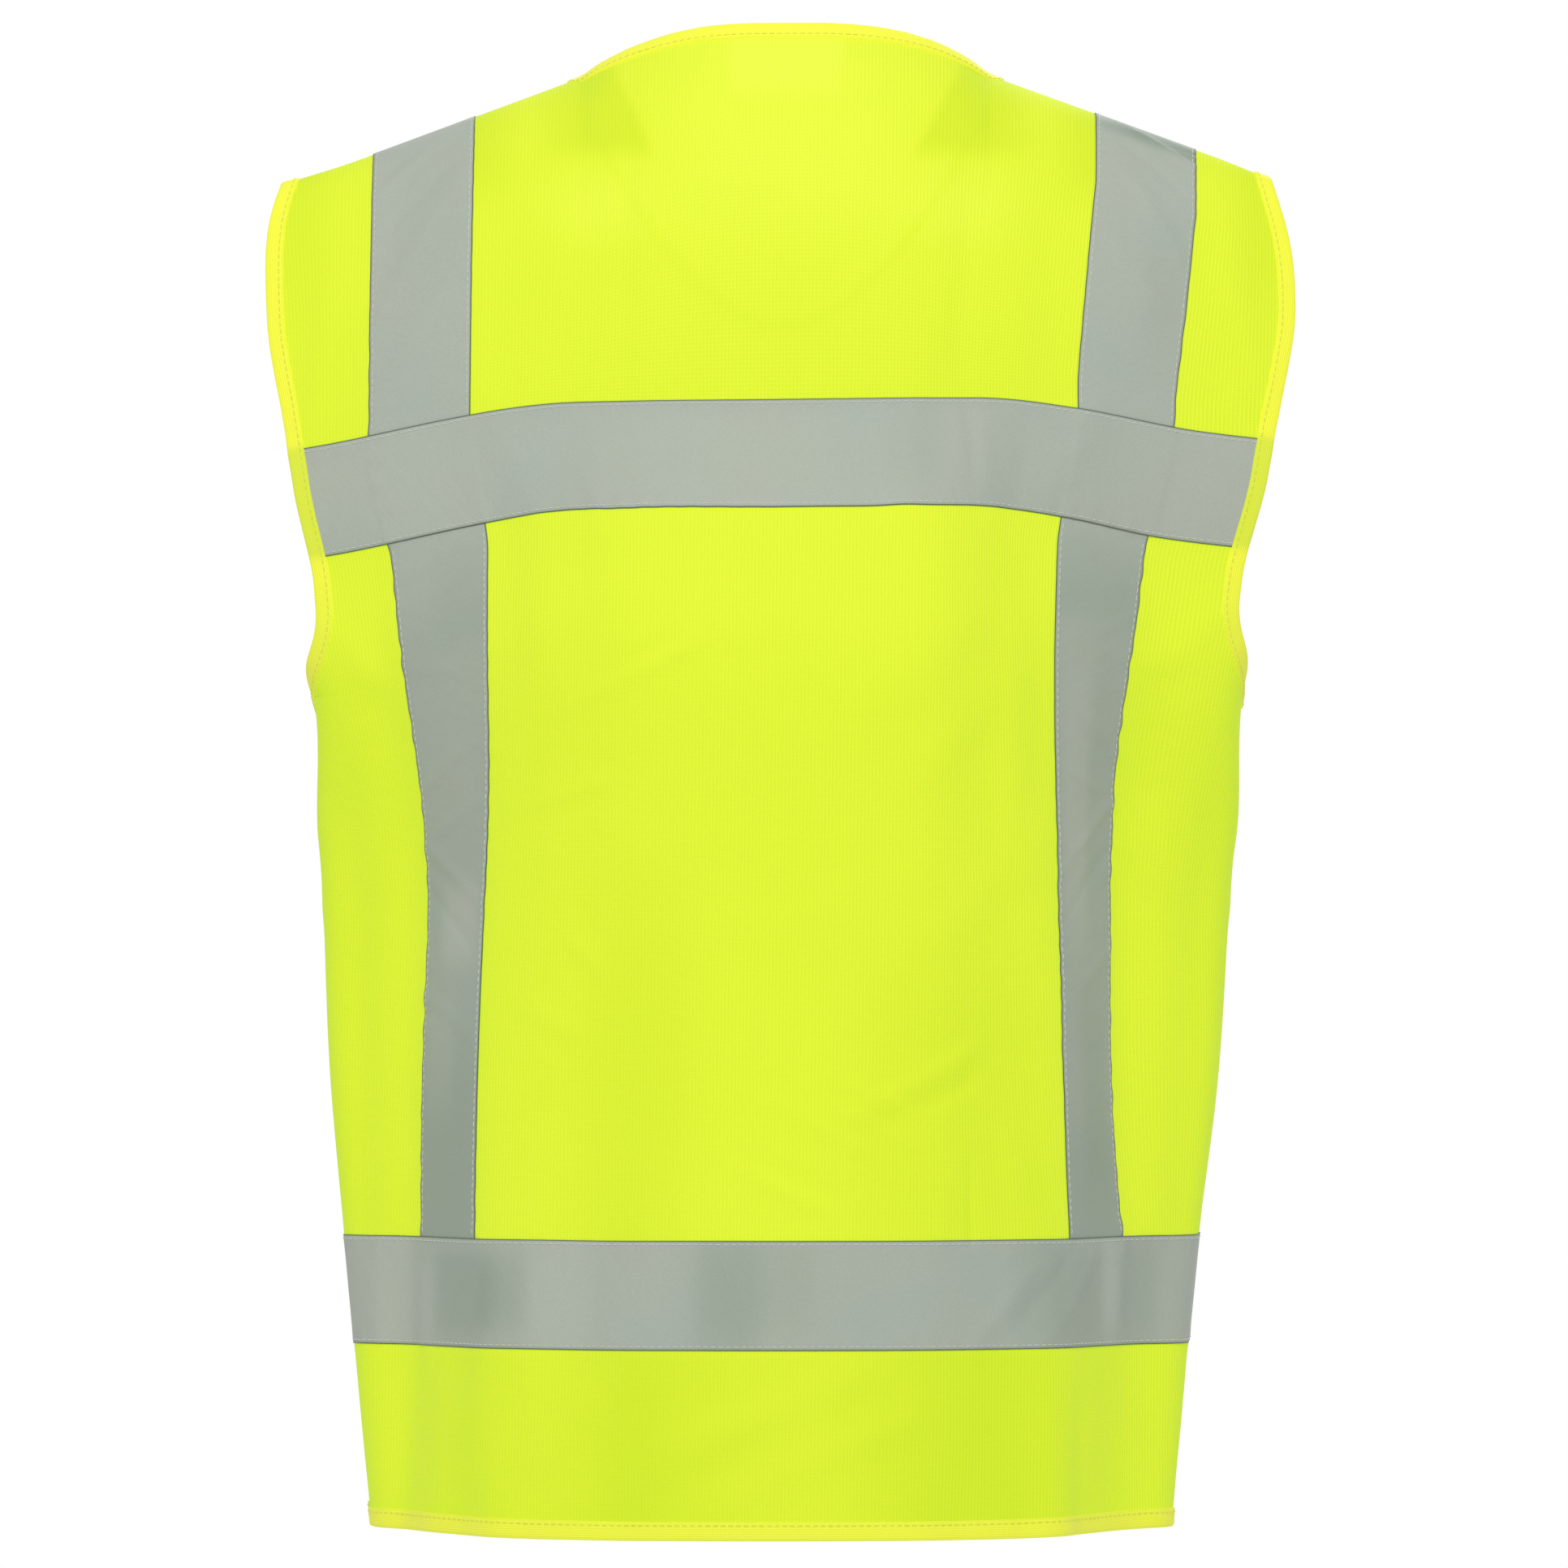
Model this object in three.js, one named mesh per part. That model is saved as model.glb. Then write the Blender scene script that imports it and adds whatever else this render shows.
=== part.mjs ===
// High visibility vest, fastened at the front, as it hangs on a chest: millimetres, +Z up.
// The wearer's left is +X, the front faces -Y, and the origin is level with the neck ends
// of the shoulder seams. Every piece is a patch of one garment surface, laid out on the flat
// pattern: s runs round the body from the centre line, v runs up it.
import * as THREE from 'three';

// ---- Driving dimensions ----
const hemLevel = -670.5;
const halfGirth = 292;            // cloth from the centre back to a side seam
const backNeckRise = 45;          // how far the back slope would rise above the shoulder seams
const neckHalfWidth = 94;
const shoulderHalfWidth = 236;    // measured along the cloth to the shoulder tip
const shoulderDrop = 0.366;       // fall of the shoulder seam for each mm outwards
const shoulderSeamDepth = 15;
const sideSeamShift = 30;         // the side seams hang this far forward below the chest
const chestLevel = -151;          // top edge of the chest tape, where the upper back starts
const waistTapeTop = -535;
const tapeWidth = 50;
const braceInset = 146;           // centre line to the inner edge of a brace tape
const armholeInset = 246;         // centre line to the back armhole edge, along the cloth
const frontArmholeInset = 226;
const armholeBottom = -268;
const armholeCurveHeight = 44;
const armholeNarrowing = 11;      // the armhole edge runs in by this much below the chest level
const neckPointLevel = -134;      // pattern height where the neckline meets the front edge
const lapHalfWidth = 20;          // each front passes the centre line by this much
const swingLineAtHem = 134;       // the fold that a front swings on, along the cloth
const swingPastNeck = 10;         // at its top that fold lies this far outside the neckline
const swingLineAtTop = neckHalfWidth + swingPastNeck;
const frontDepthAtTop = -46;      // depth of that fold at its two ends
const frontDepthAtHem = -112;
const bindingWidth = 7;
const fabricThickness = 1.2;
const tapeThickness = 0.6;
const bindingThickness = 0.8;
const stripWidth = 20;
const stripThickness = 1.2;
const labelWidth = 52;
const labelDrop = 44;
const careLabelWidth = 34;
const careLabelHeight = 62;
const careLabelTop = -470;
const labelThickness = 0.5;

// ---- Clearances ----
const layerGap = 0.3;
const seamGap = 0.25;
const edgeGap = 0.9;              // inside the fold of a binding
const foldGap = 0.5;              // between a cloth edge and the fold of its binding
const swingGap = 0.6;
const labelStandOff = 2.5;        // labels to what they are sewn to

// ---- Levels of the layers above the middle of the cloth ----
const clothFace = fabricThickness / 2;
const braceLevel = clothFace + layerGap;
const bandLevel = braceLevel + tapeThickness + layerGap;
const bindingInside = clothFace + edgeGap;
const bindingOutside = bindingInside + bindingThickness;
const lapGap = 0.4;               // between the two fronts where they lap
const lapLift = bandLevel + tapeThickness + lapGap + bindingOutside;

const degrees = Math.PI / 180;
const upperBackRun = 165;         // pattern height from the chest tape to the shoulder seam
const ridgeLevel = chestLevel + upperBackRun;
const neckStartAngle = 62;        // how far round the upper back slope the neckline lies
const straightShare = 0.7;        // part of the upper front that hangs straight

const clamp01 = (t) => Math.min(1, Math.max(0, t));

function rise(value, from, to) {
  const t = clamp01((value - from) / (to - from));
  return t * t * (3 - 2 * t);
}

// ---- The section: the cloth's turning angle at s, away from straight across the back ----
const sideTaper = 0.11;           // how fast the sides draw in, for each mm down
const sideTaperStart = -380;
const sideBend = 34;              // length of cloth that turns the corner into the side seam

// Each term is the angle gained over one stretch of s, in degrees: level at the centre, a
// first bend before the brace, the hollow behind the brace, the flare beside it and the side.
function turning(s, v) {
  const slack = rise(v, -140, -400);
  const hollow = rise(v, -151, -215);
  const centre = 6 + 2 * slack;
  const inner = 16 + 18 * hollow - 8 * rise(v, -300, -480);
  const underBrace = 20 + 40 * slack;
  const flare = 24 + 6 * hollow;
  const sideTurn = 252 - 24 * rise(v, -200, -262) + 12.5 * rise(v, -262, -345)
    - sideTaper * Math.max(0, sideTaperStart - v);
  return centre * rise(s, 0, 60)
    + (inner - centre) * rise(s, 50, 90)
    + (underBrace - inner) * rise(s, 122, 158)
    + (flare - underBrace) * rise(s, 192, 222)
    + (90 - flare) * rise(s, sideTurn, sideTurn + sideBend);
}

// Running sums of the section: across[i] and depth[i] at s = i * sumStep, from the centre.
const sumStep = 2;
const sections = new Map();

function section(v) {
  const key = Math.round(Math.min(v, chestLevel) * 10);
  if (!sections.has(key)) {
    const across = [0];
    const depth = [0];
    for (let i = 1; i * sumStep <= 400; i += 1) {
      const angle = turning((i - 0.5) * sumStep, key / 10) * degrees;
      across.push(across[i - 1] + sumStep * Math.cos(angle));
      depth.push(depth[i - 1] + sumStep * Math.sin(angle));
    }
    sections.set(key, { across, depth });
  }
  return sections.get(key);
}

function along(list, s) {
  const place = Math.abs(s) / sumStep;
  const i = Math.floor(place);
  return list[i] + (list[i + 1] - list[i]) * (place - i);
}

const across = (s, v) => Math.sign(s) * along(section(v).across, s);
const depthToSide = (s, v) => along(section(v).depth, halfGirth) - along(section(v).depth, s);
const seamDepth = (v) => -sideSeamShift * rise(v, chestLevel, -420);

// ---- Heights ----
const sideDrop = 22;              // how much lower the cloth hangs at the sides than at the centre

function ridgeHeight(s) {
  const out = Math.abs(s) / neckHalfWidth;
  if (out < 1) return backNeckRise * (1 - out ** 2.3);
  const chestAcross = section(chestLevel).across;
  return -shoulderDrop * (along(chestAcross, s) - along(chestAcross, neckHalfWidth));
}

function sag(s, v) {
  return sideDrop * rise(Math.abs(s), 90, 270) * rise(v, -450, -201);
}

const bodyHeight = (s, v) => v - sag(s, v);

// ---- The back: section below the chest level, quarter ellipses over the upper back ----
function backPoint(s, v) {
  if (v <= chestLevel) {
    return new THREE.Vector3(across(s, v), seamDepth(v) + depthToSide(s, v), bodyHeight(s, v));
  }
  const angle = ((v - chestLevel) / upperBackRun) * 90 * degrees;
  const base = bodyHeight(s, chestLevel);
  const reach = depthToSide(s, chestLevel) - shoulderSeamDepth;
  return new THREE.Vector3(
    across(s, chestLevel),
    shoulderSeamDepth + reach * Math.cos(angle),
    base + (ridgeHeight(s) - base) * Math.sin(angle),
  );
}

// ---- The front: one section shape, deepened so that the swing fold is a straight line ----
const swingTop = chestLevel * (1 - straightShare);

function swingLine(z) {
  const share = (z - hemLevel) / (swingTop - hemLevel);
  return swingLineAtHem + (swingLineAtTop - swingLineAtHem) * share;
}

function frontDepth(s, z) {
  const share = (z - hemLevel) / (swingTop - hemLevel);
  const fold = frontDepthAtHem + (frontDepthAtTop - frontDepthAtHem) * share;
  const seam = seamDepth(z);
  return seam + ((fold - seam) * depthToSide(s, chestLevel)) / depthToSide(swingLine(z), chestLevel);
}

function frontPoint(s, v) {
  const sideShift = across(halfGirth, v) - across(halfGirth, chestLevel);
  const x = across(s, chestLevel) + sideShift * rise(Math.abs(s), braceInset, halfGirth);
  if (v <= chestLevel) return new THREE.Vector3(x, frontDepth(s, bodyHeight(s, v)), bodyHeight(s, v));
  const share = 1 - v / chestLevel;
  const angle = clamp01((share - 0.5) / 0.5) * 90 * degrees;
  const climb = straightShare * clamp01(share / 0.5) + (1 - straightShare) * Math.sin(angle);
  const base = bodyHeight(s, chestLevel);
  const z = base + (ridgeHeight(s) - base) * climb;
  const hanging = frontDepth(s, z);
  return new THREE.Vector3(x, hanging + (shoulderSeamDepth - hanging) * (1 - Math.cos(angle)), z);
}

// A place on the garment: its side (+1 is the wearer's left), panel, and pattern place.
function place(side, front, s, v, lift = 0) {
  const at = front ? frontPoint : backPoint;
  const step = 0.5;
  const point = at(s, v);
  const acrossCloth = at(s + step, v).sub(at(s - step, v));
  const upCloth = at(s, v).sub(at(s, v - step));
  const normal = acrossCloth.cross(upCloth).normalize();
  if (!front) normal.negate();
  point.x *= side;
  normal.x *= side;
  point.addScaledVector(normal, lift);
  return { point, normal };
}

const offset = (spot, level) => spot.point.clone().addScaledVector(spot.normal, level);

function between(a, b, share) {
  return {
    point: a.point.clone().lerp(b.point, share),
    normal: a.normal.clone().lerp(b.normal, share).normalize(),
  };
}

// ---- Closed solids ----
function solidOf(points, triangles) {
  const corner = (i) => points[i];
  let volume = 0;
  for (const [a, b, c] of triangles) volume += corner(a).dot(corner(b).clone().cross(corner(c)));
  const geometry = new THREE.BufferGeometry();
  const numbers = points.flatMap((p) => p.toArray());
  geometry.setAttribute('position', new THREE.Float32BufferAttribute(numbers, 3));
  geometry.setIndex(triangles.flatMap(([a, b, c]) => (volume > 0 ? [a, b, c] : [a, c, b])));
  geometry.computeVertexNormals();
  return geometry;
}

// Cloth between two levels over a set of four-cornered cells, walled round its edges.
function clothSolid(cells, low, high) {
  const spots = [...new Set(cells.flat())];
  const index = new Map(spots.map((spot, i) => [spot, i]));
  const count = spots.length;
  const points = [...spots.map((s) => offset(s, high)), ...spots.map((s) => offset(s, low))];
  const triangles = [];
  const edges = new Map();
  for (const cell of cells) {
    const [a, b, c, d] = cell.map((spot) => index.get(spot));
    triangles.push([a, b, c], [a, c, d]);
    triangles.push([a + count, c + count, b + count], [a + count, d + count, c + count]);
    for (const [from, to] of [[a, b], [b, c], [c, d], [d, a]]) {
      if (edges.has(`${to},${from}`)) edges.delete(`${to},${from}`);
      else edges.set(`${from},${to}`, [from, to]);
    }
  }
  for (const [from, to] of edges.values()) {
    triangles.push([to, from, from + count], [to, from + count, to + count]);
  }
  return solidOf(points, triangles);
}

// A binding: cloth tape folded over an edge, as a U carried along stations
// [inner, edge, rank]. The rank says which way the cells under it are cut.
function bindingSolid(stations, closed = false) {
  const points = [];
  for (const [innerSpot, edge] of stations) {
    const inner = between(innerSpot, edge, layerGap / bindingWidth);
    const outwards = edge.point.clone().sub(innerSpot.point).normalize();
    const fold = (away, level) => offset(edge, level).addScaledVector(outwards, away);
    points.push(
      offset(inner, bindingInside),
      offset(inner, bindingOutside),
      fold(foldGap + bindingThickness, bindingOutside),
      fold(foldGap + bindingThickness, -bindingOutside),
      offset(inner, -bindingOutside),
      offset(inner, -bindingInside),
      fold(foldGap, -bindingInside),
      fold(foldGap, bindingInside),
    );
  }
  const ring = 8;
  const triangles = [];
  const last = closed ? stations.length : stations.length - 1;
  for (let j = 0; j < last; j += 1) {
    const here = j * ring;
    const next = ((j + 1) % stations.length) * ring;
    const onwards = stations[(j + 1) % stations.length][2] >= stations[j][2];
    for (let k = 0; k < ring; k += 1) {
      const m = (k + 1) % ring;
      const [a, b, c, d] = [here + k, next + k, next + m, here + m];
      if ((k % 4 === 3) === onwards) triangles.push([a, b, d], [b, c, d]);
      else triangles.push([a, b, c], [a, c, d]);
    }
  }
  if (!closed) {
    const end = (stations.length - 1) * ring;
    for (const [a, b, c] of [[0, 1, 2], [0, 2, 7], [2, 3, 6], [2, 6, 7], [3, 4, 5], [3, 5, 6]]) {
      triangles.push([a, b, c], [a + end, c + end, b + end]);
    }
  }
  return solidOf(points, triangles);
}

// ---- The pattern grid of one half: columns from the centre out, rows from the hem up ----
const braceOuter = braceInset + tapeWidth;
const chestTapeBottom = chestLevel - tapeWidth;
const waistTapeBottom = waistTapeTop - tapeWidth;
const outerShares = [0.17, 0.34, 0.5, 0.67, 0.83, 1];
const curveCentre = armholeBottom + armholeCurveHeight;
const curveAngles = [0, 22, 42, 60, 76, 90];
const curveFoot = armholeBottom - bindingWidth;
const curveHead = curveCentre + 2;
const middleShares = [0.17, 0.34, 0.51, 0.68, 0.84];
const upperShares = { back: [0.2, 0.4, 0.6, 0.8, 1], front: [0.25, 0.5, 0.62, 0.74, 0.86, 0.94, 1] };

// Rows up to the chest level: [height, angle round the armhole's lower curve or null].
const lowerRows = [
  [hemLevel, null],
  [hemLevel + bindingWidth, null],
  [(hemLevel + waistTapeBottom) / 2, null],
  [waistTapeBottom, null],
  [waistTapeTop, null],
  ...middleShares.map((share) => [waistTapeTop + share * (curveFoot - waistTapeTop), null]),
  ...curveAngles.map((angle, k) => {
    const share = k / (curveAngles.length - 1);
    return [curveFoot + share * (curveHead - curveFoot), angle];
  }),
  [chestTapeBottom, null],
  [chestLevel, null],
];
const curveRow = lowerRows.findIndex(([, angle]) => angle === 0);
const chestRow = lowerRows.length - 1;
const waistRow = 3;
const stripFirstRow = 2;

const tipRun = 110;               // the armhole edge leans in over this much below its tip

// The armhole edge at row height v, and the same moved in by the binding's width.
function armholeSpot(v, angle, inset, top) {
  if (angle !== null) {
    const wide = halfGirth - seamGap - inset + armholeNarrowing;
    const sine = Math.sin(angle * degrees);
    const cosine = Math.cos(angle * degrees);
    const inwards = new THREE.Vector2(-sine / wide, -cosine / armholeCurveHeight);
    inwards.normalize().multiplyScalar(bindingWidth);
    const s = halfGirth - seamGap - wide * sine;
    const height = curveCentre - armholeCurveHeight * cosine;
    return { edge: [s, height], inner: [s + inwards.x, height + inwards.y] };
  }
  const towardsTip = rise(v, top - tipRun, top);
  const narrowing = armholeNarrowing * rise(v, chestLevel + 56, chestLevel - 14);
  const s = inset + (shoulderHalfWidth - inset) * towardsTip - narrowing;
  return { edge: [s, v], inner: [s - bindingWidth, v] };
}

function halfPanel(side, front) {
  const inset = front ? frontArmholeInset : armholeInset;
  const top = (front ? 0 : ridgeLevel) - 1;
  const run = top - chestLevel;
  const upper = front ? upperShares.front : upperShares.back;
  const rows = [...lowerRows, ...upper.map((share) => [chestLevel + share * run, null])];
  const spot = (s, v) => place(side, front, s, v);
  const armhole = rows.map(([v, angle], j) => {
    if (j < curveRow) return { inner: [halfGirth - seamGap, v] };
    return armholeSpot(v, angle, inset, top);
  });
  const outer = rows.map(([v], j) => outerShares.map((share) => {
    const [s, height] = armhole[j].inner;
    return spot(braceOuter + share * (s - braceOuter), v + share * (height - v));
  }));
  const braceStops = [braceInset, braceInset + tapeWidth / 2, braceOuter];
  const brace = rows.map(([v]) => braceStops.map((s) => spot(s, v)));
  const armholeBand = rows.map((row, j) => {
    if (j < curveRow) return null;
    return [outer[j].at(-1), spot(...armhole[j].edge), j];
  });
  return { side, front, rows, top, spot, brace, outer, armholeBand };
}

// The same cell seen from its other face, cut along the same diagonal.
const turned = ([a, b, c, d]) => [a, d, c, b];

// Four-cornered cells between neighbouring columns and rows of a grid[row][column].
function cellsOf(grid, fromRow, toRow, fromColumn, toColumn) {
  const cells = [];
  for (let j = fromRow; j < toRow; j += 1) {
    for (let i = fromColumn; i < toColumn; i += 1) {
      cells.push([grid[j][i], grid[j][i + 1], grid[j + 1][i + 1], grid[j + 1][i]]);
    }
  }
  return cells;
}

// Cells of the strip between a panel and its edge.
function bandCells(band) {
  return band.slice(1).map(([inner, edge], k) => [band[k][0], band[k][1], edge, inner]);
}

// ---- Back panel: both halves, with the neckline strip between the shoulder seams ----
const neckShares = [0, 0.4, 0.7, 0.87, 0.96, 1];
const mirrored = { left: 1, right: -1 };
const backHalf = { left: halfPanel(1, false), right: halfPanel(-1, false) };
const frontHalf = { left: halfPanel(1, true), right: halfPanel(-1, true) };

function neckEdge(share) {
  const s = neckHalfWidth * share;
  const angle = 90 - (90 - neckStartAngle) * Math.sqrt(1 - share * share);
  return new THREE.Vector2(s, chestLevel + ((upperBackRun - 1) * angle) / 90);
}

// The neckline's inner line lies a binding's width from its edge, square to it.
function neckInner(share) {
  const edge = neckEdge(share);
  if (share === 1) return new THREE.Vector2(edge.x + bindingWidth, edge.y);
  const ahead = neckEdge(Math.min(1, share + 0.001)).sub(edge);
  return edge.add(new THREE.Vector2(ahead.y, -ahead.x).normalize().multiplyScalar(bindingWidth));
}

function backColumns(panel) {
  const neckEdges = neckShares.map((share) => panel.spot(neckEdge(share).x, neckEdge(share).y));
  const grid = panel.rows.map(([v], j) => {
    const climb = Math.max(0, (v - chestLevel) / (panel.top - chestLevel));
    const inner = neckShares.map((share) => {
      const goal = neckInner(share);
      const s = neckHalfWidth * share;
      const height = j <= chestRow ? v : chestLevel + (goal.y - chestLevel) * climb;
      return panel.spot(s + (goal.x - s) * climb * climb, height);
    });
    const beside = panel.spot((neckHalfWidth + braceInset) / 2, v);
    return [...inner, beside, ...panel.brace[j], ...panel.outer[j]];
  });
  return { grid, neckBand: neckEdges.map((edge, k) => [grid.at(-1)[k], edge, k]) };
}

const backGrid = { left: backColumns(backHalf.left), right: backColumns(backHalf.right) };

// The two halves share their centre column.
backGrid.left.grid.forEach((row, j) => { backGrid.right.grid[j][0] = row[0]; });
backGrid.right.neckBand[0] = backGrid.left.neckBand[0];

const braceColumn = neckShares.length + 1;
const lastColumn = backGrid.left.grid[0].length - 1;
const lastRow = backGrid.left.grid.length - 1;

function bothSides(make) {
  return [...make('left'), ...make('right').map(turned)];
}

const backCells = bothSides((side) => [
  ...cellsOf(backGrid[side].grid, 0, lastRow, 0, lastColumn),
  ...bandCells(backHalf[side].armholeBand.slice(curveRow)),
  ...bandCells(backGrid[side].neckBand).map(turned),
]);

// ---- Front: the part that stays with the side seam, and the part that swings ----
const swingRow = frontHalf.left.rows.findIndex(([v], j) => j > chestRow && v >= chestLevel / 2 - 1);
const frontTopRow = frontHalf.left.rows.length - 1;

function frontEdge(v) {
  const share = clamp01((v - neckPointLevel) / -neckPointLevel);
  return -lapHalfWidth + (neckHalfWidth + lapHalfWidth) * (1 - (1 - share) ** 4);
}

function frontEdgeSpots(v) {
  const slope = frontEdge(v + 0.5) - frontEdge(v - 0.5);
  const square = new THREE.Vector2(1, -slope).normalize().multiplyScalar(bindingWidth);
  const inwards = Math.max(frontEdge(v) + square.x, bindingWidth - lapHalfWidth);
  return { edge: [frontEdge(v), v], inner: [inwards, v + square.y] };
}

// s of the swing fold at pattern height v, found from the height of the cloth there.
const foldAt = (v) => swingLine(frontPoint(swingLineAtTop, v).z);

function stayingFront(side) {
  const panel = frontHalf[side];
  const grid = panel.rows.map(([v], j) => [
    panel.spot(foldAt(v) + swingGap, v),
    ...panel.brace[j],
    ...panel.outer[j],
  ]);
  const strap = [];
  for (let j = swingRow; j <= frontTopRow; j += 1) {
    const v = panel.rows[j][0] + (j === swingRow ? 1 : 0);
    const spots = frontEdgeSpots(v);
    const inner = panel.spot(spots.inner[0], v);
    strap.push([panel.spot(...spots.edge), inner, ...grid[j]]);
  }
  const neckBand = strap.map(([edge, inner], k) => [inner, edge, k]);
  const cells = [
    ...cellsOf(grid, 0, frontTopRow, 0, grid[0].length - 1),
    ...cellsOf(strap, 0, strap.length - 1, 0, 2),
    ...bandCells(panel.armholeBand.slice(curveRow)),
  ];
  return { grid, strap, neckBand, cells };
}

const staying = { left: stayingFront('left'), right: stayingFront('right') };

// The left front lies lifted over the closure, and comes down to the chest beyond it.
const lapStart = 26;
const lapEnd = 62;
const liftOf = (side, s) => (side === 'left' ? lapLift * (1 - rise(s, lapStart, lapEnd)) : 0);

const swingingTop = frontHalf.left.rows[swingRow][0] - 1;
const necklineShares = [0, 0.05, 0.13, 0.27, 0.5, 0.75, 1];
const swingingRows = [
  ...lowerRows.map(([v]) => v),
  neckPointLevel - bindingWidth - 1,
  ...necklineShares.map((share) => neckPointLevel + share * (swingingTop - neckPointLevel)),
];
const necklineColumns = [0, 0.08, 0.16, 0.25, 0.35, 0.5, 0.65, 0.82, 1];

function swingingFront(side) {
  const spot = (s, v) => place(mirrored[side], true, s, v, liftOf(side, s));
  const grid = swingingRows.map((v) => {
    const [from, low] = frontEdgeSpots(v).inner;
    const to = foldAt(v) - swingGap;
    const closed = [-stripWidth / 2, 0, stripWidth / 2, lapStart, (lapStart + lapEnd) / 2, lapEnd];
    const stops = v < neckPointLevel
      ? [from, ...closed, (lapEnd + to) / 2, to]
      : necklineColumns.map((share) => from + share * (to - from));
    return stops.map((s) => spot(s, v + (low - v) * ((to - s) / (to - from)) ** 2));
  });
  const band = swingingRows.map((v, j) => [grid[j][0], spot(frontEdge(v), v), j]);
  return { grid, band, spot };
}

const swinging = { left: swingingFront('left'), right: swingingFront('right') };
const swingingLast = swinging.left.grid[0].length - 1;

// ---- Finishes ----
const finishes = {
  cloth: new THREE.MeshStandardMaterial({ color: 0xd8f528, roughness: 0.85, metalness: 0 }),
  binding: new THREE.MeshStandardMaterial({ color: 0xe6f42a, roughness: 0.8, metalness: 0 }),
  tape: new THREE.MeshStandardMaterial({ color: 0xb4bcc0, roughness: 0.45, metalness: 0.2 }),
  hook: new THREE.MeshStandardMaterial({ color: 0xd2ea3c, roughness: 0.9, metalness: 0 }),
  label: new THREE.MeshStandardMaterial({ color: 0xf2f2ee, roughness: 0.7, metalness: 0 }),
};

const vest = new THREE.Group();

function add(name, geometry, finish) {
  const mesh = new THREE.Mesh(geometry, finishes[finish].clone());
  mesh.name = name;
  vest.add(mesh);
}

// ---- Cloth ----
add('back_panel', clothSolid(backCells, -clothFace, clothFace), 'cloth');
for (const side of ['left', 'right']) {
  add(`${side}_side_front_panel`, clothSolid(staying[side].cells, -clothFace, clothFace), 'cloth');
  const cells = [
    ...cellsOf(swinging[side].grid, 0, swingingRows.length - 1, 0, swingingLast),
    ...bandCells(swinging[side].band).map(turned),
  ];
  add(`${side}_front_panel`, clothSolid(cells, -clothFace, clothFace), 'cloth');
}

// ---- Brace tapes: up the back, over the shoulder and down the front ----
for (const side of ['left', 'right']) {
  const back = backGrid[side].grid.slice(waistRow + 1).map((row) => row.slice(braceColumn, braceColumn + 3));
  const front = staying[side].grid.slice(waistRow + 1).map((row) => row.slice(1, 4));
  const seam = [back[back.length - 1], front[front.length - 1]];
  const cells = [
    ...cellsOf(back, 0, back.length - 1, 0, 2),
    ...cellsOf(seam, 0, 1, 0, 2),
    ...cellsOf(front, 0, front.length - 1, 0, 2).map(turned),
  ];
  add(`${side}_brace_tape`, clothSolid(cells, braceLevel, braceLevel + tapeThickness), 'tape');
}

// ---- Chest and waist tapes ----
const tape = (cells) => clothSolid(cells, bandLevel, bandLevel + tapeThickness);
const chestRows = (grid, columns) => cellsOf(grid, chestRow - 1, chestRow, 0, columns);
add('chest_tape_back', tape(bothSides((side) => chestRows(backGrid[side].grid, lastColumn))), 'tape');
const pastLoopStrip = 3;          // column of the fronts' grid where the loop strip ends
for (const side of ['left', 'right']) {
  const stays = staying[side].grid;
  add(`chest_tape_${side}_side`, tape(chestRows(stays, stays[0].length - 1)), 'tape');
  add(`chest_tape_${side}_front`, tape(chestRows(swinging[side].grid, swingingLast)), 'tape');
  const firstColumn = side === 'left' ? 0 : pastLoopStrip;
  const moves = cellsOf(swinging[side].grid, waistRow, waistRow + 1, firstColumn, swingingLast);
  add(`waist_tape_${side}_front`, tape(moves), 'tape');
}
add('waist_tape_back', tape(bothSides((side) => {
  const back = backGrid[side].grid;
  const front = staying[side].grid;
  const seam = [waistRow, waistRow + 1].map((j) => [back[j].at(-1), front[j].at(-1)]);
  return [
    ...cellsOf(back, waistRow, waistRow + 1, 0, lastColumn),
    ...cellsOf(seam, 0, 1, 0, 1),
    ...cellsOf(front, waistRow, waistRow + 1, 0, front[0].length - 1).map(turned),
  ];
})), 'tape');

// ---- Bindings ----
for (const side of ['left', 'right']) {
  const back = backHalf[side].armholeBand.slice(curveRow);
  const front = frontHalf[side].armholeBand.slice(curveRow).reverse();
  add(`${side}_armhole_binding`, bindingSolid([...back, ...front], true), 'binding');
  add(`${side}_front_edge_binding`, bindingSolid(swinging[side].band), 'binding');
  const hem = swinging[side].grid[1].map((inner, i) => [inner, swinging[side].grid[0][i], -i]);
  hem[0] = [between(hem[0][0], hem[1][0], 0.1), between(hem[0][1], hem[1][1], 0.1), 0];
  add(`${side}_front_hem_binding`, bindingSolid(hem), 'binding');
}
const neckPath = (side) => [
  ...backGrid[side].neckBand,
  ...[...staying[side].neckBand].reverse(),
];
add('neck_binding', bindingSolid([...neckPath('right').slice(1).reverse(), ...neckPath('left')]), 'binding');
const hemPath = (side) => {
  const round = (j) => [...backGrid[side].grid[j], ...[...staying[side].grid[j]].reverse()];
  const edge = round(0);
  return round(1).map((inner, i) => [inner, edge[i], -i]);
};
add('hem_binding', bindingSolid([...hemPath('right').slice(1).reverse(), ...hemPath('left')]), 'binding');

// ---- Hook and loop closure: loop outside the right front, hook inside the left front ----
const stripCells = (side) => cellsOf(swinging[side].grid, stripFirstRow, curveRow, 1, pastLoopStrip);
const stripLow = clothFace + layerGap;
add('loop_strip', clothSolid(stripCells('right'), stripLow, stripLow + stripThickness), 'hook');
add('hook_strip', clothSolid(stripCells('left'), -stripLow - stripThickness, -stripLow), 'hook');

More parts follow.
